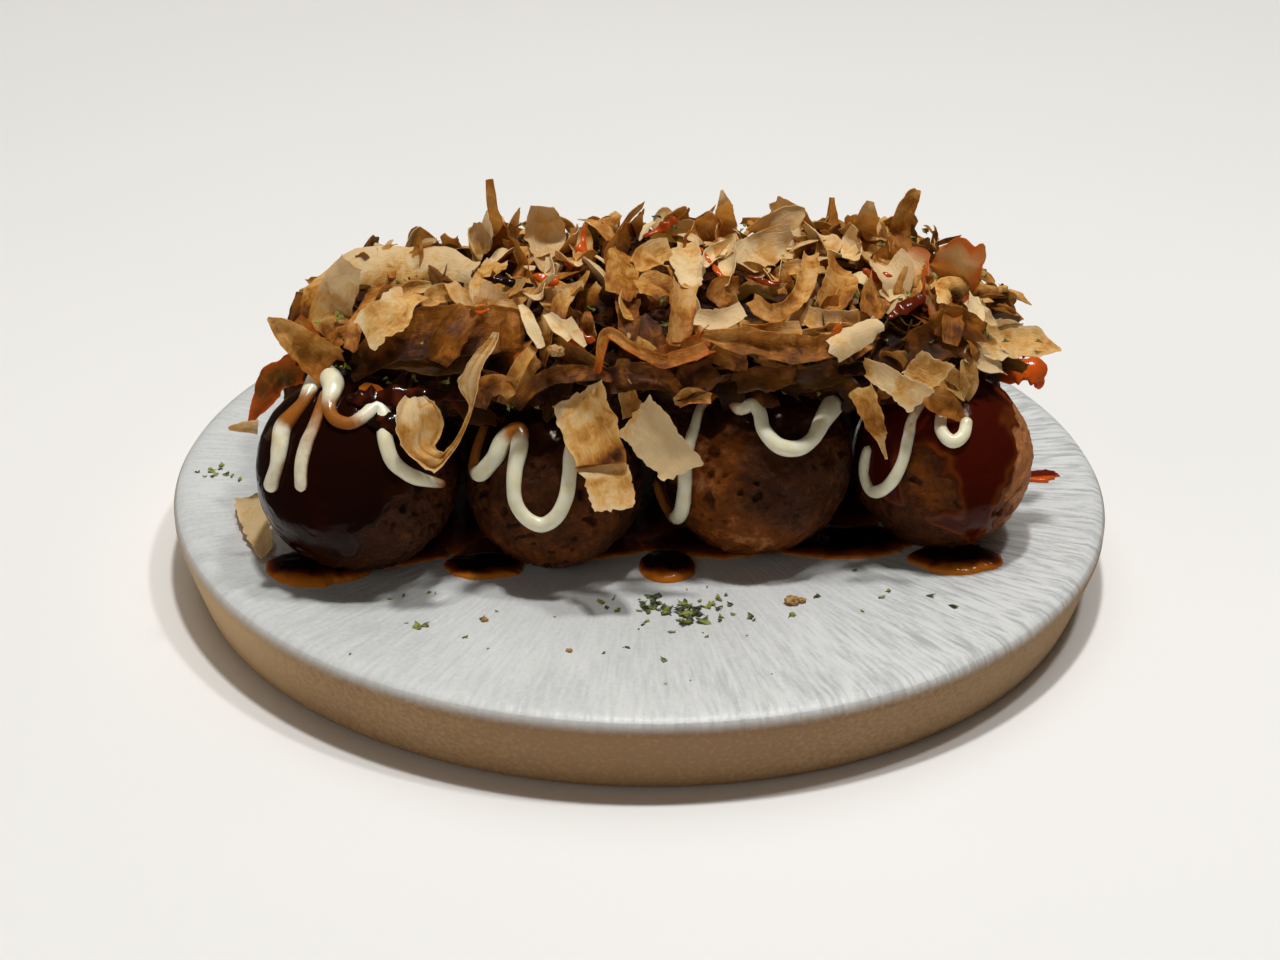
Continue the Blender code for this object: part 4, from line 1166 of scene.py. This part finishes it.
def small_flakes(sheet, count, depths, lengths, widths, tones, wets):
    """A layer of small shavings laid all over the heap."""
    chance = random.Random(SMALL_SEED + count)
    flakes = []
    for number in range(count):
        way = upward(chance, SMALL_LOWEST, SMALL_SPREAD)
        skin = mound(way, CORE_SHRINK - chance.uniform(*depths))[0]
        left, right, behind = LEFT_SHEETS
        on_left_sheets = left < skin[0] < right and skin[1] < behind
        left, behind, above = RIGHT_TIP
        on_right_tip = skin[0] > left and skin[1] < behind and skin[2] < above
        if tones[0] < DRY_TONE and (on_left_sheets or on_right_tip):
            continue
        out = np.array((way[0, 0] * 0.5, way[0, 1] * 1.3, way[0, 2] + 0.35))
        out /= np.linalg.norm(out)
        front = np.array([component + chance.gauss(0, 0.5) for component in out])
        front /= np.linalg.norm(front)
        course = np.cross(front, [chance.gauss(0, 1) for _ in range(3)])
        course /= np.linalg.norm(course)
        length = chance.uniform(*lengths)
        width = min(length * 0.85, chance.uniform(*widths))
        arch = out * chance.uniform(-0.5, 2.2)
        ends = [chance.uniform(0.2, 1.0) for _ in range(2)]
        reach = course * length / 2
        stops = [
            (*(skin - reach - out * 0.8), width * ends[0]),
            (*(skin + arch), width),
            (*(skin + reach + out * chance.uniform(-1.0, 1.8)), width * ends[1] * 0.8),
        ]
        depth = SMALL_LOW_TONE * (1.0 - way[0, 2])
        tone, wet = chance.uniform(*tones) + depth, chance.uniform(*wets) + depth
        looks = (tone, wet, max(0.0, chance.gauss(*SMALL_REDS)))
        cup = chance.uniform(*SMALL_CUPS)
        seed = number * SMALL_SEED_STEP + count
        flakes.append(make_flake(sheet, "small", stops, front, looks, cup, seed, *SMALL_CRUMPLE))
    return flakes


def bonito(name, glow, share):
    finish = Finish(name)
    tone, wet, red, rim = (finish.attribute(name) for name in ("tone", "wet", "red", "rim"))
    skin = finish.node("ShaderNodeTexCoord", output="UV")
    along = finish.vector("MULTIPLY", skin, (4.0, 46.0, 1.0))
    fibre = finish.grain(1.0, 4.0, 0.65, 0.5, along)
    cloud = finish.grain(0.22, 4.0, 0.62, 0.8, skin)
    vein = finish.grain(0.5, 2.0, 0.5, 1.5, along)
    streak = vein.rise(0.58, 0.74)
    shade = tone + fibre * 0.38 + cloud * 0.90 - 0.61 + streak * 0.14
    # Rims darken where wet and soaked; dry rims carry a painted highlight where they catch the
    # light.
    shade = shade + rim.rise(0.72, 1.0) * (wet - 0.45) * 0.4
    pale = ((0.0, FLAKE_CREAM), (0.25, FLAKE_TAN), (0.50, FLAKE_AMBER))
    colour = finish.ramp(shade, *pale, (0.74, FLAKE_BROWN), (0.96, FLAKE_BLACK))
    colour = finish.mix(red.rise(0.1, 0.9), colour, FLAKE_RED)
    finish.set(Base_Color=colour, Roughness=0.58 - wet * 0.34 + fibre * 0.12)
    finish.set(Specular_IOR_Level=0.25)
    relief = finish.bump(fibre + cloud * 0.9, 0.22 * MM)
    skin_light = Signal(finish, finish.shader.outputs["BSDF"])
    through = finish.node("ShaderNodeBsdfTranslucent", None, {"Color": glow, "Normal": relief})
    factor = wet * 0.5 - shade * 0.15 + share
    blend = finish.node("ShaderNodeMixShader", None, {"Fac": factor, 1: skin_light, 2: through})
    finish.feed(finish.tree.nodes["Material Output"].inputs["Surface"], blend)
    return finish


finished(make_core(), core_finish(), "bonito", "shavings_heap")
large_sheet = sheet_pattern(FLAKE_COLUMNS, FLAKE_ROWS)
small_sheet = sheet_pattern(SMALL_COLUMNS, SMALL_ROWS)
flakes = []
for number, (name, (stops, front, *looks, cup)) in enumerate(FLAKES.items()):
    calm = SHEET_CALM if "sheet" in name else (1.0, 1.0)
    seed = number * FLAKE_SEED_STEP
    flakes.append(make_flake(large_sheet, name, stops, facing(*front), looks, cup, seed, *calm))
bonito_finish = bonito("bonito_shavings", FLAKE_GLOW, 0.10)
finished(shavings("bonito_heap_large", flakes), bonito_finish, "bonito", "shavings_heap")
for layer_name, layer in LAYERS.items():
    layer_flakes = small_flakes(small_sheet, *layer)
    finished(shavings(layer_name, layer_flakes), bonito_finish, "bonito", "shavings_heap")


# The loose shavings: nine dry bonito shavings that landed on the heap's edge, on the balls and on
# the plate. They stay pale and stiff, with torn rims, and hang in front of the rest.
LOOSE_COLUMNS = 72
LOOSE_ROWS = 24
# Each one's rows from end to end, the left and the right end of each row as along, across and up in
# millimetres.
LOOSE = {
    "folded": (((-22.8, -33, 39.3), (-13.3, -34, 45.1)), ((-22, -35, 36.6), (-12.5, -36, 41.5)),
        ((-21, -37.5, 33.8), (-10.7, -38.5, 37)), ((-19.4, -42, 30.4), (-9.3, -42, 31.1)),
        ((-18.9, -40.8, 29.3), (-8.9, -40.8, 29.9)), ((-17.5, -43, 27.8), (-8.7, -42.5, 28.5)),
        ((-16.9, -45.5, 25.6), (-8.5, -45, 26.1)), ((-16.1, -48, 23.4), (-8.3, -47.5, 24))),
    "square": (((-10.3, -36.3, 34.6), (-4.9, -36.3, 42.3)), ((-7.5, -38.4, 31.8),
        (-1.7, -37.6, 39.1)), ((-4.5, -39.6, 28.4), (2.4, -39, 33.8)), ((-1.9, -41.6, 26),
        (6, -40.6, 29.3))),
    "middle": (((-10.5, -30.5, 46.1), (-9.7, -30.8, 46.2)), ((-10.2, -32, 43.8), (-8, -33, 44.2)),
        ((-10.1, -33.5, 40.6), (-6.5, -34.5, 41.4)), ((-9.6, -35, 36.6), (-5.2, -35.6, 38.4))),
    "curl": (((-51.8, -34, 42.5), (-48.1, -34, 42.8)), ((-53.6, -38, 41.1), (-45.7, -35.6, 41.1)),
        ((-54.3, -41, 38.5), (-44.4, -36, 37.4)), ((-52.3, -42, 35.1), (-46.5, -38, 34.1)),
        ((-49.3, -42, 31.7), (-45.2, -40, 33.4)), ((-46.7, -41.5, 29.8), (-44.4, -40.2, 33.7)),
        ((-43.7, -40.6, 32.5), (-44, -40, 34)), ((-41.5, -39.6, 35.4), (-42, -39.4, 36.2)),
        ((-39.6, -38, 39.1), (-40.2, -37.8, 39.4)), ((-38.6, -37, 41.8), (-39.5, -36.6, 41.8)),
        ((-37.4, -36.8, 45.1), (-41.5, -35, 44.8)), ((-36.9, -36, 47.7), (-40.5, -34.6, 47.5)),
        ((-35.9, -35.2, 50), (-39.1, -34, 49.8)), ((-34.7, -34.4, 51.9), (-37.3, -33.4, 51.8)),
        ((-33.6, -33.4, 53.8), (-35.4, -33, 53.8)), ((-33.4, -33, 55.1), (-34.5, -32.6, 55.1))),
    "long": (((37.7, -32.8, 43.9), (38.3, -32.6, 47.5)), ((41.1, -36.4, 42.2), (43.4, -35.8, 46.2)),
        ((43.8, -38.4, 40.5), (47.3, -37.8, 44.9)), ((46.4, -40, 38.6), (51.2, -39.4, 43.3))),
    "right": (((45.9, -31, 42.8), (49.5, -31.6, 47.7)), ((48.8, -34, 41.9), (52.4, -34, 47.5)),
        ((51.1, -36.6, 41.6), (55.2, -36.4, 46.8))),
    "pointed": (((34.5, -36, 41.2), (39.5, -36, 43.4)), ((36.2, -37.2, 38.7), (41, -37.4, 38.2)),
        ((38.3, -38, 34.6), (42.4, -38.2, 34.1)), ((40.5, -38.4, 31.9), (42.1, -38.4, 31.8)),
        ((42.4, -38.4, 27.8), (42.9, -38.4, 27.8))),
    "on_plate": (((-87.3, 4.1, 1.2), (-81.7, 6.9, 1.6)), ((-86.2, -4.5, 1.6), (-80.8, -1.5, 2.6)),
        ((-84.6, -13, 1.2), (-79.6, -10.5, 2.4)), ((-81.3, -21.6, 1), (-78.9, -17.9, 1.8))),
    "left": (((-86.8, -17, 28.8), (-86.6, -17, 28.1)), ((-83.7, -17.6, 30.3), (-83.7, -18, 27.9)),
        ((-80.8, -17, 30.2), (-80.9, -17.4, 27.2))),
}
# How brown each is, then the bands across it: where they lie along it, how wide they are and how
# brown.
LOOSE_LOOKS = {
    "folded": (0.1, ((0.1, 0.05, 0.15), (0.26, 0.05, 0.25), (0.44, 0.055, 0.5),
        (0.72, 0.03, 0.15))),
    "square": (-0.12, ((0, 0.14, 0.26),)),
    "middle": (0.42, ()),
    "curl": (0.06, ((0.12, 0.05, 0.2), (0.24, 0.05, 0.2), (0.38, 0.06, 0.3), (0.5, 0.05, 0.3))),
    "long": (-0.02, ((0, 0.15, 0.4),)),
    "right": (0.24, ()),
    "pointed": (0.26, ((0.5, 0.2, 0.15),)),
    "on_plate": (-0.05, ()),
    "left": (0.02, ()),
}
LOOSE_GLOW = (0.92, 0.64, 0.30)
LOOSE_NIP = 0.42
LOOSE_TEAR_PACES = (1.7, 0.6, 1.6)
LOOSE_FINE_TEAR = 0.6
LOOSE_END_TEAR = 0.45
LOOSE_FOLDS = ((0.7, 4.5), (0.30, 1.5), (0.25, 3.0))
LOOSE_BOW = -0.09
LOOSE_WET = 0.08
CURL_FOLD = 2.0
CURL_GATHER = 0.8
# Painted shade of the curl's gathers.
CURL_GATHER_SHADE_TONE = 0.16
CURL_GATHER_PACE = 1.1
# A step longer than any stretch between two rows, so that each stretch is only halved.
LOOSE_LONG_STEP = 1e9
LOOSE_SEED = 40


def make_loose(sheet, name, rows, seed):
    """A stiff dry shaving between the two edges that its rows give, lightly creased and nibbled."""
    pattern, u, v = sheet
    edges = np.array([[*left, *right] for left, right in rows])
    spots = u * (len(edges) - 1)
    lines = flow(edges, LOOSE_LONG_STEP)
    between = between_rows(lines, spots / (len(edges) - 1) * (len(lines) - 1))
    share = (v * 0.5 + 0.5)[:, None]
    across = between[:, 3:6] - between[:, :3]
    width = np.linalg.norm(across, axis=1)
    centres = (edges[:, :3] + edges[:, 3:6]) / 2
    length = float(np.sum(steps(centres)))
    flat = np.column_stack((u * length, v * width / 2, np.full(len(u), seed)))
    nibble, torn = torn_edges(sheet, length, width, LOOSE_TEAR_PACES, LOOSE_FINE_TEAR, seed)
    nip = LOOSE_NIP * nibble * np.abs(v) ** 8 * np.clip(width / 6.0, 0.0, 1.0)
    nip = (nip / np.maximum(width, 0.3) * np.sign(v))[:, None]
    places = between[:, :3] * (1 - share - nip) + between[:, 3:6] * (share + nip)
    along = unit(between_rows(unit(np.gradient(centres, axis=0)), spots))
    normal = unit(np.cross(across, along))
    size = np.clip(width / 7.0, 0.1, 1.0)
    fold = size * (CURL_FOLD if name == "curl" else 1.0) * crumples(flat, LOOSE_FOLDS, seed)
    if name == "curl":
        gathers = jag(v * 4.5, CURL_GATHER_PACE, seed)
        fold += size * CURL_GATHER * gathers
    bow = LOOSE_BOW * width * (v * v - 0.4)
    shift = LOOSE_END_TEAR * size * torn * np.abs(2 * u - 1) ** 9
    places += normal * (fold + bow)[:, None] + along * shift[:, None]
    rim = np.maximum(np.abs(v), np.abs(2 * u - 1) ** 2)
    tone, bands = LOOSE_LOOKS[name]
    for middle_of_band, reach, gain in bands:
        tone = tone + gain * np.exp(-((u + 0.05 * v - middle_of_band) / reach) ** 2)
    # Painted shade that follows the curl's gathers.
    if name == "curl":
        tone = tone + CURL_GATHER_SHADE_TONE * gathers
    return dress_flake("loose", pattern, places, flat, rim, (tone, LOOSE_WET, 0.0), seed)


loose_finish = bonito("dry_bonito_shaving", LOOSE_GLOW, 0.30)
loose_sheet = sheet_pattern(LOOSE_COLUMNS, LOOSE_ROWS)
for number, (name, rows) in enumerate(LOOSE.items()):
    flake = make_loose(loose_sheet, name, rows, LOOSE_SEED + number * SEED_STEP)
    finished(shavings(f"bonito_shaving_{name}", [flake]), loose_finish, "bonito", f"shaving_{name}")

for pattern, _, _ in (large_sheet, small_sheet, loose_sheet):
    bpy.data.objects.remove(pattern)


# The sauce that ran: brown sauce has dripped off the balls and lies on the plate in glossy pools,
# black where it is deep and amber where it thins at the rim, and a painted glow widens the amber on
# the side that faces the diner. The pools under and between the balls also hold painted shade.
# Thinner red sauce hangs in drops and runs between the shavings.
SAUCE_THIN = (0.62, 0.19, 0.014)
SAUCE_MIDDLE = (0.18, 0.030, 0.004)
SAUCE_DARK = (0.010, 0.003, 0.0018)
SAUCE_GLOW = (1.0, 0.25, 0.06)
CHILI_RED = (0.62, 0.10, 0.010)
CHILI_DARK = (0.12, 0.010, 0.003)
POOL_DETAIL = 6
POOL_SKIN = 0.05
POOL_UNDER = -0.12
POOL_SWELL = 0.12
POOL_RIPPLE = 0.07
POOL_RIPPLE_SIZE = 1.3
# Each pool: its middle across the plate, its half width and half length, how it is turned, its
# depth, and how far its rim wanders.
POOLS = {
    "sauce_pool_left": (-64.8, -44.2, 10.2, 7.4, 4, 1.6, 0.16),
    # Pools under, behind and between the balls are sauce and painted shade of the plate in those
    # gaps.
    "sauce_and_shade_under_1": (-55, -35, 17, 8, 6, 0.8, 0.2),
    "sauce_pool_middle": (-31, -42, 8.4, 5.6, 2, 1.1, 0.2),
    "sauce_and_shade_under_2": (-19, -34, 20, 7, 6, 0.7, 0.2),
    "sauce_drop_front": (5.8, -41.2, 5.8, 6.6, 0, 1.7, 0.02),
    "sauce_pool_right": (65, -35.8, 9.4, 6.3, 5, 1.6, 0.14),
    "sauce_and_shade_behind_right": (43, -29.5, 15, 7.5, 8, 0.9, 0.2),
    "sauce_and_shade_under_3": (16, -30, 16, 7, 6, 0.7, 0.2),
    "sauce_and_shade_between_12": (-38.8, -16.5, 11, 19, 6, 0.7, 0.15),
    "sauce_and_shade_between_23": (0, -12.2, 11, 19, 6, 0.7, 0.15),
    "sauce_and_shade_between_34": (40.8, -8, 11, 19, 6, 0.7, 0.15),
    "chili_pool_right": (85, 1.6, 5.4, 2.4, 10, 0.9, 0.45),
    "chili_drop_right": (76.6, -15.6, 1.9, 1.3, 0, 0.6, 0.3),
    "sauce_pool_back_left": (-52, 18.5, 13, 7, 12, 1.3, 0.2),
    "sauce_pool_back_right": (54, 31.5, 12, 6.5, -8, 1.3, 0.2),
}


def make_pool(name, x, y, half_width, half_length, turn, depth, wander):
    """A low lens of sauce, flat beneath, amber where it thins, with a painted glow on the diner's
    side.
    """
    pool = round_blank(name, POOL_DETAIL)
    ways = unit(read_places(pool))
    radius = np.hypot(ways[:, 0], ways[:, 1])
    rim = np.column_stack((ways[:, :2] / np.maximum(radius, 1e-6)[:, None], np.full(len(ways), x)))
    reach = 1.0 + wander * (mottle(rim * 1.3) + 0.45 * mottle(rim * 2.6))
    reach += 0.25 * wander * mottle(rim * 9.0)
    top = np.where(ways[:, 2] > 0, np.clip(1.0 - radius ** 4, 0.0, 1.0) ** 0.5, 0.0)
    angle = math.radians(turn)
    flat = ways[:, :2] * reach[:, None] * np.array((half_width, half_length))
    rim_flat = np.column_stack((flat, np.full(len(ways), x)))
    swell = 1.0 + POOL_SWELL * mottle(ways * 2.0, x)
    swell += POOL_RIPPLE * mottle(rim_flat / POOL_RIPPLE_SIZE)
    places = np.column_stack((
        x + flat[:, 0] * math.cos(angle) - flat[:, 1] * math.sin(angle),
        y + flat[:, 0] * math.sin(angle) + flat[:, 1] * math.cos(angle),
        depth * top * swell,
    ))
    places[:, 2] += np.where(ways[:, 2] > 0, POOL_SKIN, POOL_UNDER)
    write_places(pool, places * MM + np.array((0.0, 0.0, plate_top)))
    # These pools are held dark out to the rim: painted shade.
    shaded_pool = any(word in name for word in ("under", "behind", "between"))
    # Painted glow: the amber reaches farther in on the side that faces the diner.
    near = ease(-flat[:, 1] / half_length + 0.3 * mottle(rim_flat / 3.0), 0.2, 1.0)
    near *= 0.3 if shaded_pool else 1.0
    look = (1.15 * top - 0.75 * near) * min(1.0, 0.4 + depth / 1.8)
    paint(pool, "depth", np.clip(look, 0.0, 1.0))
    paint(pool, "chili", np.full(len(ways), 1.0 if "chili" in name else 0.0))
    return pool


def sauce():
    finish = Finish("takoyaki_sauce")
    depth, chili = finish.attribute("depth"), finish.attribute("chili")
    swirl = finish.grain(4.0 * MM, 2.0)
    level = depth + swirl * 0.3 - 0.15
    brown = finish.ramp(level, (0.0, SAUCE_THIN), (0.55, SAUCE_MIDDLE), (0.95, SAUCE_DARK))
    red = finish.ramp(level, (0.0, CHILI_RED), (0.25, CHILI_RED), (0.7, CHILI_DARK))
    finish.set(Base_Color=finish.mix(chili, brown, red), Roughness=0.15, Specular_IOR_Level=0.3)
    finish.set(Subsurface_Weight=0.25, Subsurface_Radius=SAUCE_GLOW, Subsurface_Scale=1.5 * MM)
    return finish


sauce_finish = sauce()
for pool_name, pool_shape in POOLS.items():
    finished(make_pool(pool_name, *pool_shape), sauce_finish, "batter")

RUN_STEP = 0.35
RUN_FLAT = 0.38
RUN_SIDES = 16
RUN_SWELL = 0.35
RUN_SWELL_PACE = 1.3
RUN_LUMP = 0.5
RUN_LUMP_SIZE = 1.8
# Each run: stops along, across, up and width in millimetres, then how deep it looks and how red it
# is.
RUNS = {
    "chili_sliver": (((-17.6, -5, 55.6, 3.4), (-15.6, -3.5, 58, 3), (-14.5, -1.5, 60.4, 1.5),
        (-14.3, 0.5, 63.6, 0.4)), 0.2, 1),
    "chili_bead_top": (((-2.4, 0, 60.3, 0.9), (1.2, 1, 61.6, 2.2), (4.8, 2, 63.4, 2.6)), 0.45, 1),
    "chili_thread": (((8.6, -7.5, 61, 0.5), (10.4, -12, 59.2, 1), (12, -15.5, 58, 1.5),
        (14.4, -18, 57.2, 1.8)), 0.35, 1),
    "chili_strip_right": (((17, -15.5, 57.9, 0.6), (21.5, -17.5, 57.2, 1.4), (26, -17, 57.2, 0.5)),
        0.6, 1),
    "sauce_bead_right_1": (((40.5, -14, 58.2, 1.8), (42.4, -15, 57, 2.5), (43.4, -15.6, 55.8, 1.2)),
        0.5, 0.8),
    "sauce_bead_right_2": (((44.6, -14.6, 57.6, 1.9), (46.2, -15.6, 56.4, 2.6),
        (47.4, -16.2, 55.2, 1.3)), 0.5, 0.8),
    "sauce_drop_right": (((43.6, -27.1, 53.2, 1.6), (47.4, -24.7, 54.4, 3.2),
        (51.9, -21.8, 55.4, 2.2)), 0.75, 0.6),
    "chili_frill_bead": (((32, -31.5, 50.8, 1.2), (32.8, -31, 52.4, 1.9), (33.8, -30.2, 54, 0.7)),
        0.35, 0.8),
    "chili_drip_side": (((72.6, -5, 28, 2.6), (75.1, -5.4, 30.2, 5.4), (78.2, -5.8, 30.8, 6),
        (80.6, -5.4, 29.4, 5), (81.3, -5, 25.8, 2.2)), 0.25, 1),
    "sauce_band_left": (((-63, -26.5, 38.8, 3), (-56, -28, 39.8, 4.6), (-47, -29, 40, 4),
        (-38, -29.4, 40.5, 2)), 0.95, 0.1),
    "sauce_peak_left": (((-60.5, -25, 40.6, 2), (-57.6, -26.5, 40.4, 3.6), (-54.8, -27.5, 39.4, 3)),
        0.1, 0.3),
    "sauce_left_corner": (((-76, -23, 30.5, 3.5), (-77.6, -22, 27, 5), (-80.4, -19.5, 22.4, 1.2)),
        0.2, 1),
    "chili_left_bit": (((-37.6, -21.5, 55.4, 1.4), (-36.2, -22.2, 55.2, 2.6),
        (-34.8, -22.6, 55.4, 1.2)), 0.1, 1),
    "sauce_mid_1": (((-22.5, -27, 53, 1.8), (-18.5, -29, 52, 3.2), (-14.5, -30, 51.6, 1.8)), 0.45,
        0.9),
    "sauce_mid_2": (((-30.5, -31, 49, 2), (-28.8, -31.6, 48.6, 3.4), (-27, -31.8, 48.6, 2)), 0.5,
        0.8),
    "sauce_mid_3": (((-25.5, -14, 58.8, 1.6), (-23.2, -15.5, 58.4, 2.8), (-20.6, -16.5, 58, 1.6)),
        0.3, 0.9),
    "sauce_black_back": (((-35.5, -14, 58.4, 0.8), (-30, -15.5, 57.9, 1.9),
        (-25.5, -16.5, 57.4, 0.9)), 1, 0),
    "sauce_dark_right": (((33, -32.4, 44.6, 2), (37, -32.6, 45, 3.4), (41, -32, 45.2, 2)), 0.95, 0),
    "sauce_pool_ball_1": (((-59.5, -30, 36.6, 3), (-54.5, -32.2, 36, 5.6), (-48.5, -32, 35.6, 3.6)),
        1, 0),
}


def make_run(name, stops, depth, chili):
    rows = flow(stops, RUN_STEP)
    distance = np.concatenate(([0.0], np.cumsum(steps(rows[:, :3]))))
    half = rows[:, 3] / 2 * round_ends(distance, rows[:, 3].mean() / 2)
    half *= 0.85 + RUN_SWELL * jag(distance, RUN_SWELL_PACE, rows[0, 0])
    front = np.array(facing(0, 45))
    fronts = np.tile(front, (len(rows), 1))
    run, _ = make_rope(name, rows[:, :3], fronts, half, half * RUN_FLAT, RUN_SIDES)
    places = read_places(run)
    places += front * (RUN_LUMP * mottle(places / RUN_LUMP_SIZE))[:, None]
    write_places(run, group_places(places))
    edge = np.clip(0.5 + 0.5 * mottle(places / 2.2, 4.0), 0.0, 1.0)
    paint(run, "depth", np.clip(depth * (0.7 + 0.6 * edge), 0.0, 1.0))
    paint(run, "chili", np.full(len(places), chili))
    return run


for run_name, run_shape in RUNS.items():
    finished(make_run(run_name, *run_shape), sauce_finish, "batter")


# The seaweed: flecks of dried green laver sprinkled last. Most lie in the heap, and some fell on
# the plate. With them lie a few crumbs of fried batter.
FLECK_SEED = 23
FLECK_THICKNESS = 0.12 * MM
FLECK_BELOW = -1.0
FLECK_LIFT = 0.12 * MM
FLECK_EDGE_GAP = 4 * MM
# Scattered flecks on the plate: middle x and y, spread, how many and the largest size, all in
# millimetres.
FLECK_GROUPS = (
    (10.0, -58.0, 5.6, 42, 2.5), (8.0, -60.0, 9.0, 16, 2.0), (-38.0, -62.0, 12.0, 8, 1.4),
    (-92.0, -4.0, 4.0, 13, 1.5), (45.0, -53.0, 10.0, 5, 1.6), (63.6, -55.7, 0.5, 1, 2.4),
    (5.8, -77.7, 0.4, 1, 2.4), (-42.0, -67.0, 0.6, 2, 2.8), (-24.0, -95.5, 0.3, 1, 2.0),
    (-1.0, -73.5, 0.6, 1, 1.6), (0.0, 62.0, 22.0, 18, 1.7), (60.0, 55.0, 14.0, 9, 1.6),
    (-60.0, 52.0, 14.0, 9, 1.6), (0.0, -66.0, 34.0, 16, 0.8),
)
HEAP_FLECKS = 420
HEAP_FLECK_DEPTHS = (1.5, 6.5)
HEAP_FLECK_SIZES = (0.5, 2.0)
FLECK_GREEN = (0.25, 0.27, 0.040)
FLECK_DARK = (0.022, 0.034, 0.010)
CRUMB_DETAIL = 4
CRUMB_SHAPE = (1.0, 0.8, 0.6)
CRUMBS = ((30.8, -54.9, 1.5), (32.6, -54.3, 0.9), (-13.0, -75.0, 0.6), (-30.0, -64.0, 0.7))
HEAP_CRUMB = ((-22.5, -34.0, 51.5), 1.7)
CRUMB_GOLD = (0.50, 0.29, 0.09)
CRUMB_BROWN = (0.30, 0.13, 0.03)


def make_fleck(chance, pattern, place, normal, size):
    """One torn scrap of seaweed, bent a little, lying across a normal."""
    fleck = bpy.data.objects.new("fleck", pattern.data.copy())
    bpy.context.scene.collection.objects.link(fleck)
    flat = read_places(fleck)
    flat[:, :2] *= np.array([1.0, chance.uniform(0.3, 0.8)])
    flat[:, :2] += 0.45 * np.array([[chance.uniform(-1, 1), chance.uniform(-1, 1)] for _ in flat])
    curl = 0.25 * chance.uniform(-1, 1)
    flat[:, 2] = 0.5 * flat[:, 0] * flat[:, 1] + curl * flat[:, 0] ** 2 + 0.3
    aim = normal.to_track_quat("Z", "Y").to_matrix()
    aim = aim @ Matrix.Rotation(chance.uniform(0, 2 * math.pi), 3, "Z")
    write_places(fleck, flat * (size / 2) * MM @ np.array(aim).T + np.array(place))
    return fleck


def plate_flecks(pattern):
    chance = random.Random(FLECK_SEED)
    flecks = []
    for x, y, spread, count, largest in FLECK_GROUPS:
        for _ in range(count):
            strayed = (x + chance.gauss(0, spread), y + chance.gauss(0, spread * 0.45), 0.0)
            place = Vector(strayed) * MM
            if place.length > plate_radius - FLECK_EDGE_GAP:
                continue
            place.z = plate_top + FLECK_LIFT
            tilt = Vector((chance.gauss(0, 0.12), chance.gauss(0, 0.12), 1.0)).normalized()
            size = chance.uniform(0.35, 1.0) * largest
            flecks.append(make_fleck(chance, pattern, place, tilt, size))
    return flecks


def heap_flecks(pattern):
    chance = random.Random(FLECK_SEED + 1)
    flecks = []
    for _ in range(HEAP_FLECKS):
        way = upward(chance, 0.05)
        local = mound(way, CORE_SHRINK - chance.uniform(*HEAP_FLECK_DEPTHS))
        place = Vector(group_places(local)[0])
        tilt = Vector((chance.gauss(0, 0.7), chance.gauss(-0.3, 0.7), 1.0)).normalized()
        flecks.append(make_fleck(chance, pattern, place, tilt, chance.uniform(*HEAP_FLECK_SIZES)))
    return flecks


def seaweed():
    finish = Finish("dried_green_laver")
    grain = finish.grain(2.6 * MM, 3.0, 0.6)
    colour = finish.mix(grain.rise(0.40, 0.60), FLECK_DARK, FLECK_GREEN)
    finish.set(Base_Color=colour, Roughness=0.62)
    return finish


deselect()
bpy.ops.mesh.primitive_grid_add(x_subdivisions=3, y_subdivisions=2, size=2.0)
fleck_pattern = bpy.context.object
seaweed_finish = seaweed()
for name, scatter in (("seaweed_on_plate", plate_flecks), ("seaweed_in_heap", heap_flecks)):
    scraps = scatter(fleck_pattern)
    finished(joined(name, scraps, FLECK_THICKNESS, FLECK_BELOW), seaweed_finish, "bonito")
bpy.data.objects.remove(fleck_pattern)


def make_crumb(number, place, size):
    crumb = round_blank(f"batter_crumb_{number}", CRUMB_DETAIL)
    ways = read_places(crumb)
    lumps = 1.0 + 0.4 * mottle(ways * 1.6, number * 5.0) + 0.18 * mottle(ways * 4.0, number)
    write_places(crumb, ways * lumps[:, None] * np.array(CRUMB_SHAPE) * size * MM + np.array(place))
    return crumb


def fried_crumb():
    finish = Finish("fried_batter_crumb")
    grain = finish.grain(0.7 * MM, 3.0, 0.6)
    finish.set(Base_Color=finish.mix(grain.rise(0.35, 0.7), CRUMB_GOLD, CRUMB_BROWN), Roughness=0.5)
    finish.bump(grain, 0.2 * MM)
    return finish


crumb_finish = fried_crumb()
for number, (x, y, size) in enumerate(CRUMBS):
    crumb = make_crumb(number, Vector((x * MM, y * MM, plate_top + size * 0.45 * MM)), size)
    finished(crumb, crumb_finish, "batter")
crumb_spot, crumb_size = HEAP_CRUMB
crumb_place = group_point(*crumb_spot) + Vector((0.0, 0.0, plate_top))
finished(make_crumb(len(CRUMBS), crumb_place, crumb_size), crumb_finish, "batter")
